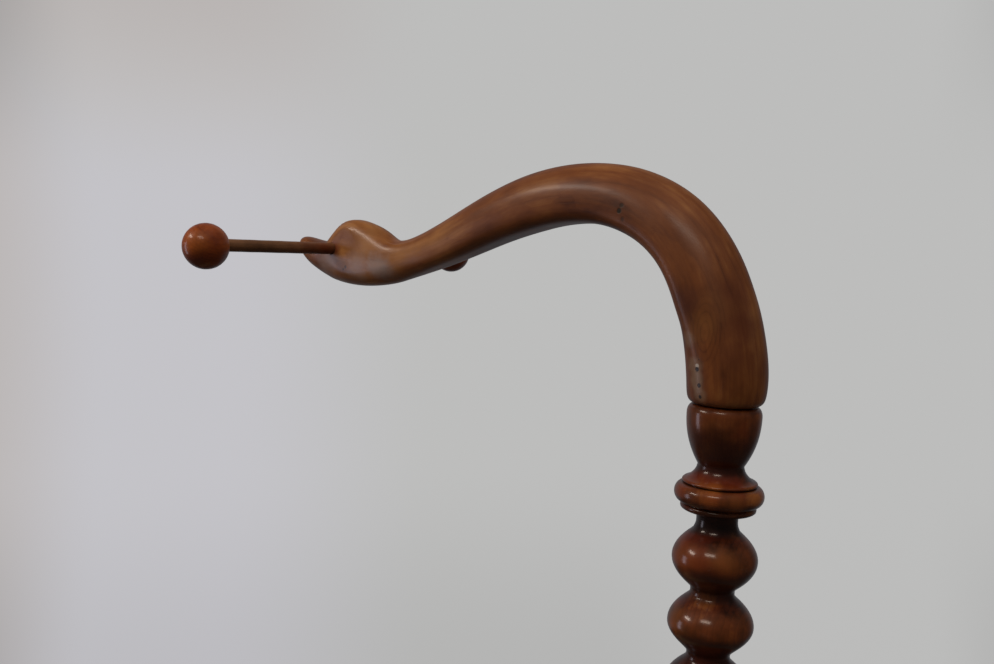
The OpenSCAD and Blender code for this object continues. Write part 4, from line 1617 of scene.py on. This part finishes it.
@dataclass
class Crib:
    """The crib that swings: corner posts, rails, end boards, spindles and the slatted bottom."""

    flare: float = 10.0
    corner: Dressing = Dressing("turned_wood", Wood(
        "corner_polish", groove=(0.0080, 0.0120), dark=(0.020, 0.0056, 0.0026),
        middle=(0.092, 0.0225, 0.0068), light=(0.225, 0.072, 0.0175), rough=0.32, coat=0.7,
    ), worn_edge=1.2 * MM)
    rail: Dressing = Dressing("rail_wood", Wood(
        "rail_polish", grain=Grain.ALONG_X, ring=4.6 * MM, dark=(0.031, 0.0088, 0.0037),
        middle=(0.130, 0.036, 0.0108), light=(0.275, 0.098, 0.027), rough=0.33, coat=0.65,
        coat_rough=0.11, rubbed=(RAIL_TOP - 14 * MM, RAIL_TOP - 1 * MM),
    ), along=0, worn_edge=2.0 * MM)
    board: Dressing = Dressing("board_wood", Wood(
        "board_polish", grain=Grain.ALONG_Y, heart=(0.06, 0.0, 0.72), ring=5.5 * MM,
        blotch=Noise(18.0, 4.0, 0.58), dark=(0.032, 0.0090, 0.0038),
        middle=(0.135, 0.037, 0.0110), light=(0.285, 0.102, 0.028), rough=0.33, coat=0.65,
        coat_rough=0.11,
    ), along=1, worn_edge=2.4 * MM)
    spindle: Dressing = Dressing("spindle_wood", Wood(
        "spindle_polish", groove=(0.0042, 0.0068), ring=2.0 * MM, dark=(0.022, 0.0060, 0.0027),
        middle=(0.096, 0.0240, 0.0072), light=(0.230, 0.075, 0.0185), rough=0.34, coat=0.6,
        coat_rough=0.12, spread=0.35,
    ))
    slat: Dressing = Dressing("plain_wood", PINE, along=1, worn_edge=1.0 * MM)
    ledge: Dressing = Dressing("plain_wood", replace(
        PINE, name="planed_ledge", grain=Grain.ALONG_X, heart=Wood.heart,
        middle=(0.310, 0.195, 0.100), light=(0.450, 0.310, 0.175), spread=Wood.spread,
    ), along=0, worn_edge=0.8 * MM)

    def build(self) -> None:
        """Dresses the crib."""
        chance = random.Random(23)
        corners = [f"corner_post_{end}_{side}" for end in ENDS for side in SIDES]
        self.corner.dress(corners, "cradle", chance)
        for side in SIDES:
            rail = self.rail.leaned(side, self.flare)
            rail.dress([f"{place}_rail_{side}" for place in ("top", "bottom")], "cradle", chance)
        boards = [f"{end}_{kind}_rail" for end in ENDS for kind in ("crest", "bottom")]
        self.board.dress(boards, "cradle", chance)
        rows = [f"side_spindles_{side}" for side in SIDES] + [f"{end}_spindles" for end in ENDS]
        self.spindle.dress(rows, "cradle", chance)
        self.slat.dress(["mattress_slats"], "cradle", chance)
        self.ledge.dress([f"slat_ledge_{side}" for side in SIDES], "cradle", chance)


@dataclass
class Pivots:
    """What the crib swings on: iron pins in brass bushes, with turned bosses and knobs."""

    # The knobs' undersides get painted shade
    turned: Dressing = Dressing("column_wood", replace(
        POST_POLISH, name="knob_polish", grain=Grain.ALONG_X, ring=2.4 * MM, groove=None,
        warm=None, underside_shade=Wood.underside_shade,
    ), along=0)
    brass: Metal = Metal("aged_brass", (0.60, 0.41, 0.16), (0.22, 0.12, 0.05), 0.30)
    iron: Metal = Metal("black_iron", (0.110, 0.102, 0.095), (0.050, 0.033, 0.026), 0.46)

    def build(self) -> None:
        """Dresses the pivots at both ends."""
        knobs = [f"pivot_{kind}_{end}" for end in ENDS for kind in ("boss", "knob")]
        self.turned.dress(knobs, "cradle", random.Random(37))
        brasses = [f"pivot_{kind}_{end}" for kind in ("bush", "washer") for end in ENDS]
        polish_metal(brasses, self.brass)
        polish_metal([f"pivot_pin_{end}" for end in ENDS], self.iron)


# ---------------------------------------------------------------- camera and room


@dataclass(frozen=True)
class Lamp:
    """A soft rectangular lamp, seen from the object in degrees left of the camera and up.

    A low one lights the crib and not the arm. Polished wood shows a shiny one as a highlight.
    """

    name: str
    left: float
    up: float
    width: float
    height: float
    power: float
    low: bool = False
    tint: Colour = (1.0, 0.98, 0.96)
    shiny: bool = False


def window(
    name: str, left: float, up: float, width: float, height: float, radiance: float, tint: Colour
) -> Lamp:
    """A bright window, whose strength is given as its radiance."""
    power = radiance * (width * height) * math.pi
    return Lamp(name, left, up, width, height, power, tint=tint, shiny=True)


@dataclass(frozen=True)
class Wall:
    """The wall behind the object: how its light and its colour change across the view.

    Each pair is where a part of the view starts and where it is full, across or up.
    """

    colour: Colour = (0.572, 0.572, 0.566)
    cool: Colour = (0.566, 0.560, 0.590)
    warm: Colour = (0.590, 0.555, 0.545)
    left: Span = (-0.05, -0.27)
    edge: Span = (-0.36, -0.48)
    right: Span = (0.38, 0.46)
    top: Span = (0.12, 0.34)
    low: Span = (-0.12, -0.32)
    low_right: Span = (0.08, 0.26)
    light: float = 0.890
    left_light: float = 0.085
    edge_dark: float = 0.14
    left_top_dark: float = 0.07
    edge_top_dark: float = 0.16
    edge_low_dark: float = 0.14
    right_dark: float = 0.12
    low_dark: float = 0.085
    low_right_light: float = 0.8

    def seen(self, nodes: Nodes, side: Value, height: Value) -> Socket:
        """Paints the wall as the camera sees it.

        Args:
            nodes: The world's nodes.
            side: How far right a direction points.
            height: How far up it points.

        Returns:
            The colour.
        """
        left, edge, right = (side.step(*span) for span in (self.left, self.edge, self.right))
        top, low = height.step(*self.top), height.step(*self.low)
        glow = self.light + left * (1.0 - top) * self.left_light
        glow = glow - edge * self.edge_dark - left * top * self.left_top_dark
        glow = glow - edge * (top * self.edge_top_dark + low * self.edge_low_dark)
        glow = glow - right * (top + low) * self.right_dark
        kept = side.step(*self.low_right) * self.low_right_light
        glow = glow - low * (1.0 - kept) * self.low_dark
        wall = nodes.mix(left * (1.0 - top), self.colour, self.cool)
        return nodes.mix(glow, ORIGIN, nodes.mix(edge.most(left * top), wall, self.warm))


@dataclass
class Studio:
    """The camera where the photograph was taken from, the room's light and the floor."""

    place: Point = (243.9 * MM, -498.2 * MM, 83.3 * MM)
    azimuth: float = 39.23
    down: float = 5.21
    roll: float = 2.71
    lens: float = 36.2
    sensor: float = 36.0
    nearest: float = 0.01
    wall: Wall = Wall()
    mirrored_wall: Colour = (0.17, 0.17, 0.18)
    mirrored_room: Colour = (0.035, 0.033, 0.032)
    mirrored_from: Span = (-0.85, -0.25)
    ambient: Colour = (0.30, 0.30, 0.31)
    ambient_low: Colour = (0.036, 0.030, 0.026)
    ambient_from: Span = (-0.20, 0.80)
    floor_r: float = 2.3
    floor_fade: Span = (0.02, 0.9)
    floor_colour: Colour = (0.74, 0.735, 0.72)
    floor_dark: float = 0.94
    floor_bounce: Colour = (0.060, 0.053, 0.047)
    lamp_far: float = 2.2
    low_cone: float = 42.0
    target: Point = (POST_X - 0.12, 0.0, SEAT_Z)
    low_target: Point = (0.0, 0.0, 0.45)
    lamps: tuple[Lamp, ...] = (
        window("window_high", 25.0, 44.0, 0.95, 0.26, 7.5, (1.0, 0.82, 0.68)),
        window("window_left", 85.0, 31.0, 0.70, 0.22, 13.0, (1.0, 0.85, 0.73)),
        window("window_side", 97.0, -5.0, 0.42, 1.10, 2.4, (0.92, 0.86, 1.0)),
        Lamp("soft_top", 0.0, 80.0, 2.4, 2.4, 24.0),
        Lamp("soft_left", 80.0, 36.0, 1.2, 1.2, 15.0),
        Lamp("soft_right", -75.0, 25.0, 1.2, 1.2, 4.5),
        Lamp("soft_low_front", 20.0, 3.0, 0.9, 0.9, 4.2, low=True),
        Lamp("soft_low_back", 200.0, 3.0, 0.9, 0.9, 5.0, low=True),
        Lamp("soft_low_side", -70.0, 3.0, 0.9, 0.9, 2.4, low=True),
    )

    @property
    def turned(self) -> Matrix:
        """The camera's turn: its columns are right, up and towards the viewer."""
        return (
            Matrix.Rotation(math.radians(self.azimuth), 3, "Z")
            @ Matrix.Rotation(math.radians(90 - self.down), 3, "X")
            @ Matrix.Rotation(math.radians(self.roll), 3, "Z")
        )

    def camera(self) -> None:
        """Sets the camera up, measured from the arm's seat."""
        data = bpy.data.cameras.new("camera")
        camera = bpy.data.objects.new("camera", data)
        bpy.context.collection.objects.link(camera)
        data.lens = self.lens
        data.sensor_width = self.sensor
        data.clip_start = self.nearest
        camera.rotation_euler = self.turned.to_euler()
        camera.location = Vector((POST_X, 0.0, SEAT_Z)) + Vector(self.place)
        bpy.context.scene.camera = camera
        bpy.context.scene.view_settings.view_transform = "Standard"

    def hang(self, lamp: Lamp) -> None:
        """Hangs one lamp, which shines at the arm or at the crib.

        Args:
            lamp: The lamp.
        """
        turn_left = math.radians(self.azimuth - lamp.left)
        rise = math.radians(lamp.up)
        toward = Vector((
            math.sin(turn_left) * math.cos(rise), -math.cos(turn_left) * math.cos(rise),
            math.sin(rise),
        ))
        data = bpy.data.lights.new(lamp.name, "AREA")
        made = bpy.data.objects.new(lamp.name, data)
        bpy.context.collection.objects.link(made)
        data.shape = "RECTANGLE"
        data.size, data.size_y = lamp.width, lamp.height
        data.energy = lamp.power
        data.color = lamp.tint
        if lamp.low:
            data.spread = math.radians(self.low_cone)
        made.rotation_euler = toward.to_track_quat("Z", "Y").to_euler()
        target = Vector(self.low_target if lamp.low else self.target)
        made.location = target + toward * self.lamp_far
        made.visible_glossy = lamp.shiny

    def air(self) -> None:
        """Gives the world its wall colour to the camera, and a low even light to the rest."""
        world = bpy.data.worlds.new("room")
        bpy.context.scene.world = world
        nodes = Nodes(world)
        sight = nodes.node("ShaderNodeLightPath")
        seen, mirrored, passed = (
            Value(nodes, sight.outputs[f"Is {ray} Ray"])
            for ray in ("Camera", "Glossy", "Transmission")
        )
        way = nodes.node("ShaderNodeTexCoord").outputs["Generated"]
        side, height, nearer = (nodes.towards(way, axis) for axis in self.turned.col)
        wall = self.wall.seen(nodes, side, height)
        shade = nodes.mix(
            nearer.step(*self.mirrored_from), self.mirrored_wall, self.mirrored_room
        )
        above = nodes.towards(way, Vector((0.0, 0.0, 1.0))).step(*self.ambient_from)
        colour = nodes.mix(mirrored, nodes.mix(above, self.ambient_low, self.ambient), shade)
        colour = nodes.mix(seen.most(passed), colour, wall)
        back = nodes.node("ShaderNodeBackground", None, {"Color": colour, "Strength": 1.0})
        out = nodes.node("ShaderNodeOutputWorld")
        nodes.tree.links.new(back.outputs[0], out.inputs["Surface"])

    def floor(self) -> None:
        """Lays a round pale floor that fades into the background at its edge."""
        select()
        bpy.ops.mesh.primitive_circle_add(
            vertices=96, radius=self.floor_r, fill_type="NGON", location=(0.0, 0.0, -0.5 * MM)
        )
        disc = bpy.context.object
        fix_place(disc)
        disc.name = "floor"
        shader = Shader("pale_floor")
        reach = shader.far(shader.here, ORIGIN)
        grain = shader.noise(shader.here, Noise(3.0))
        dark = tuple(part * self.floor_dark for part in self.floor_colour)
        sight = shader.node("ShaderNodeLightPath")
        bounced = 1.0 - Value(shader, sight.outputs["Is Camera Ray"])
        pale = shader.mix(grain, self.floor_colour, dark)
        rim, clear = (self.floor_r - width for width in self.floor_fade)
        shader.set(
            Base_Color=shader.mix(bounced, pale, self.floor_bounce),
            Roughness=0.7,
            Alpha=reach.step(rim, clear),
        )
        disc.data.materials.append(shader.material)

    def build(self) -> None:
        """Makes the camera first, then the room."""
        self.camera()
        for lamp in self.lamps:
            self.hang(lamp)
        self.air()
        self.floor()
        LOG.info("studio: camera, %d lamps, floor", len(self.lamps))


def main() -> None:
    """Builds the pieces in order."""
    logging.basicConfig(level=logging.INFO, format="%(message)s")
    for part in (Studio, DrapeColumn, SwanNeckArm, DrapeRod, Stand, Crib, Pivots):
        part().build()


if __name__ == "__main__":
    main()
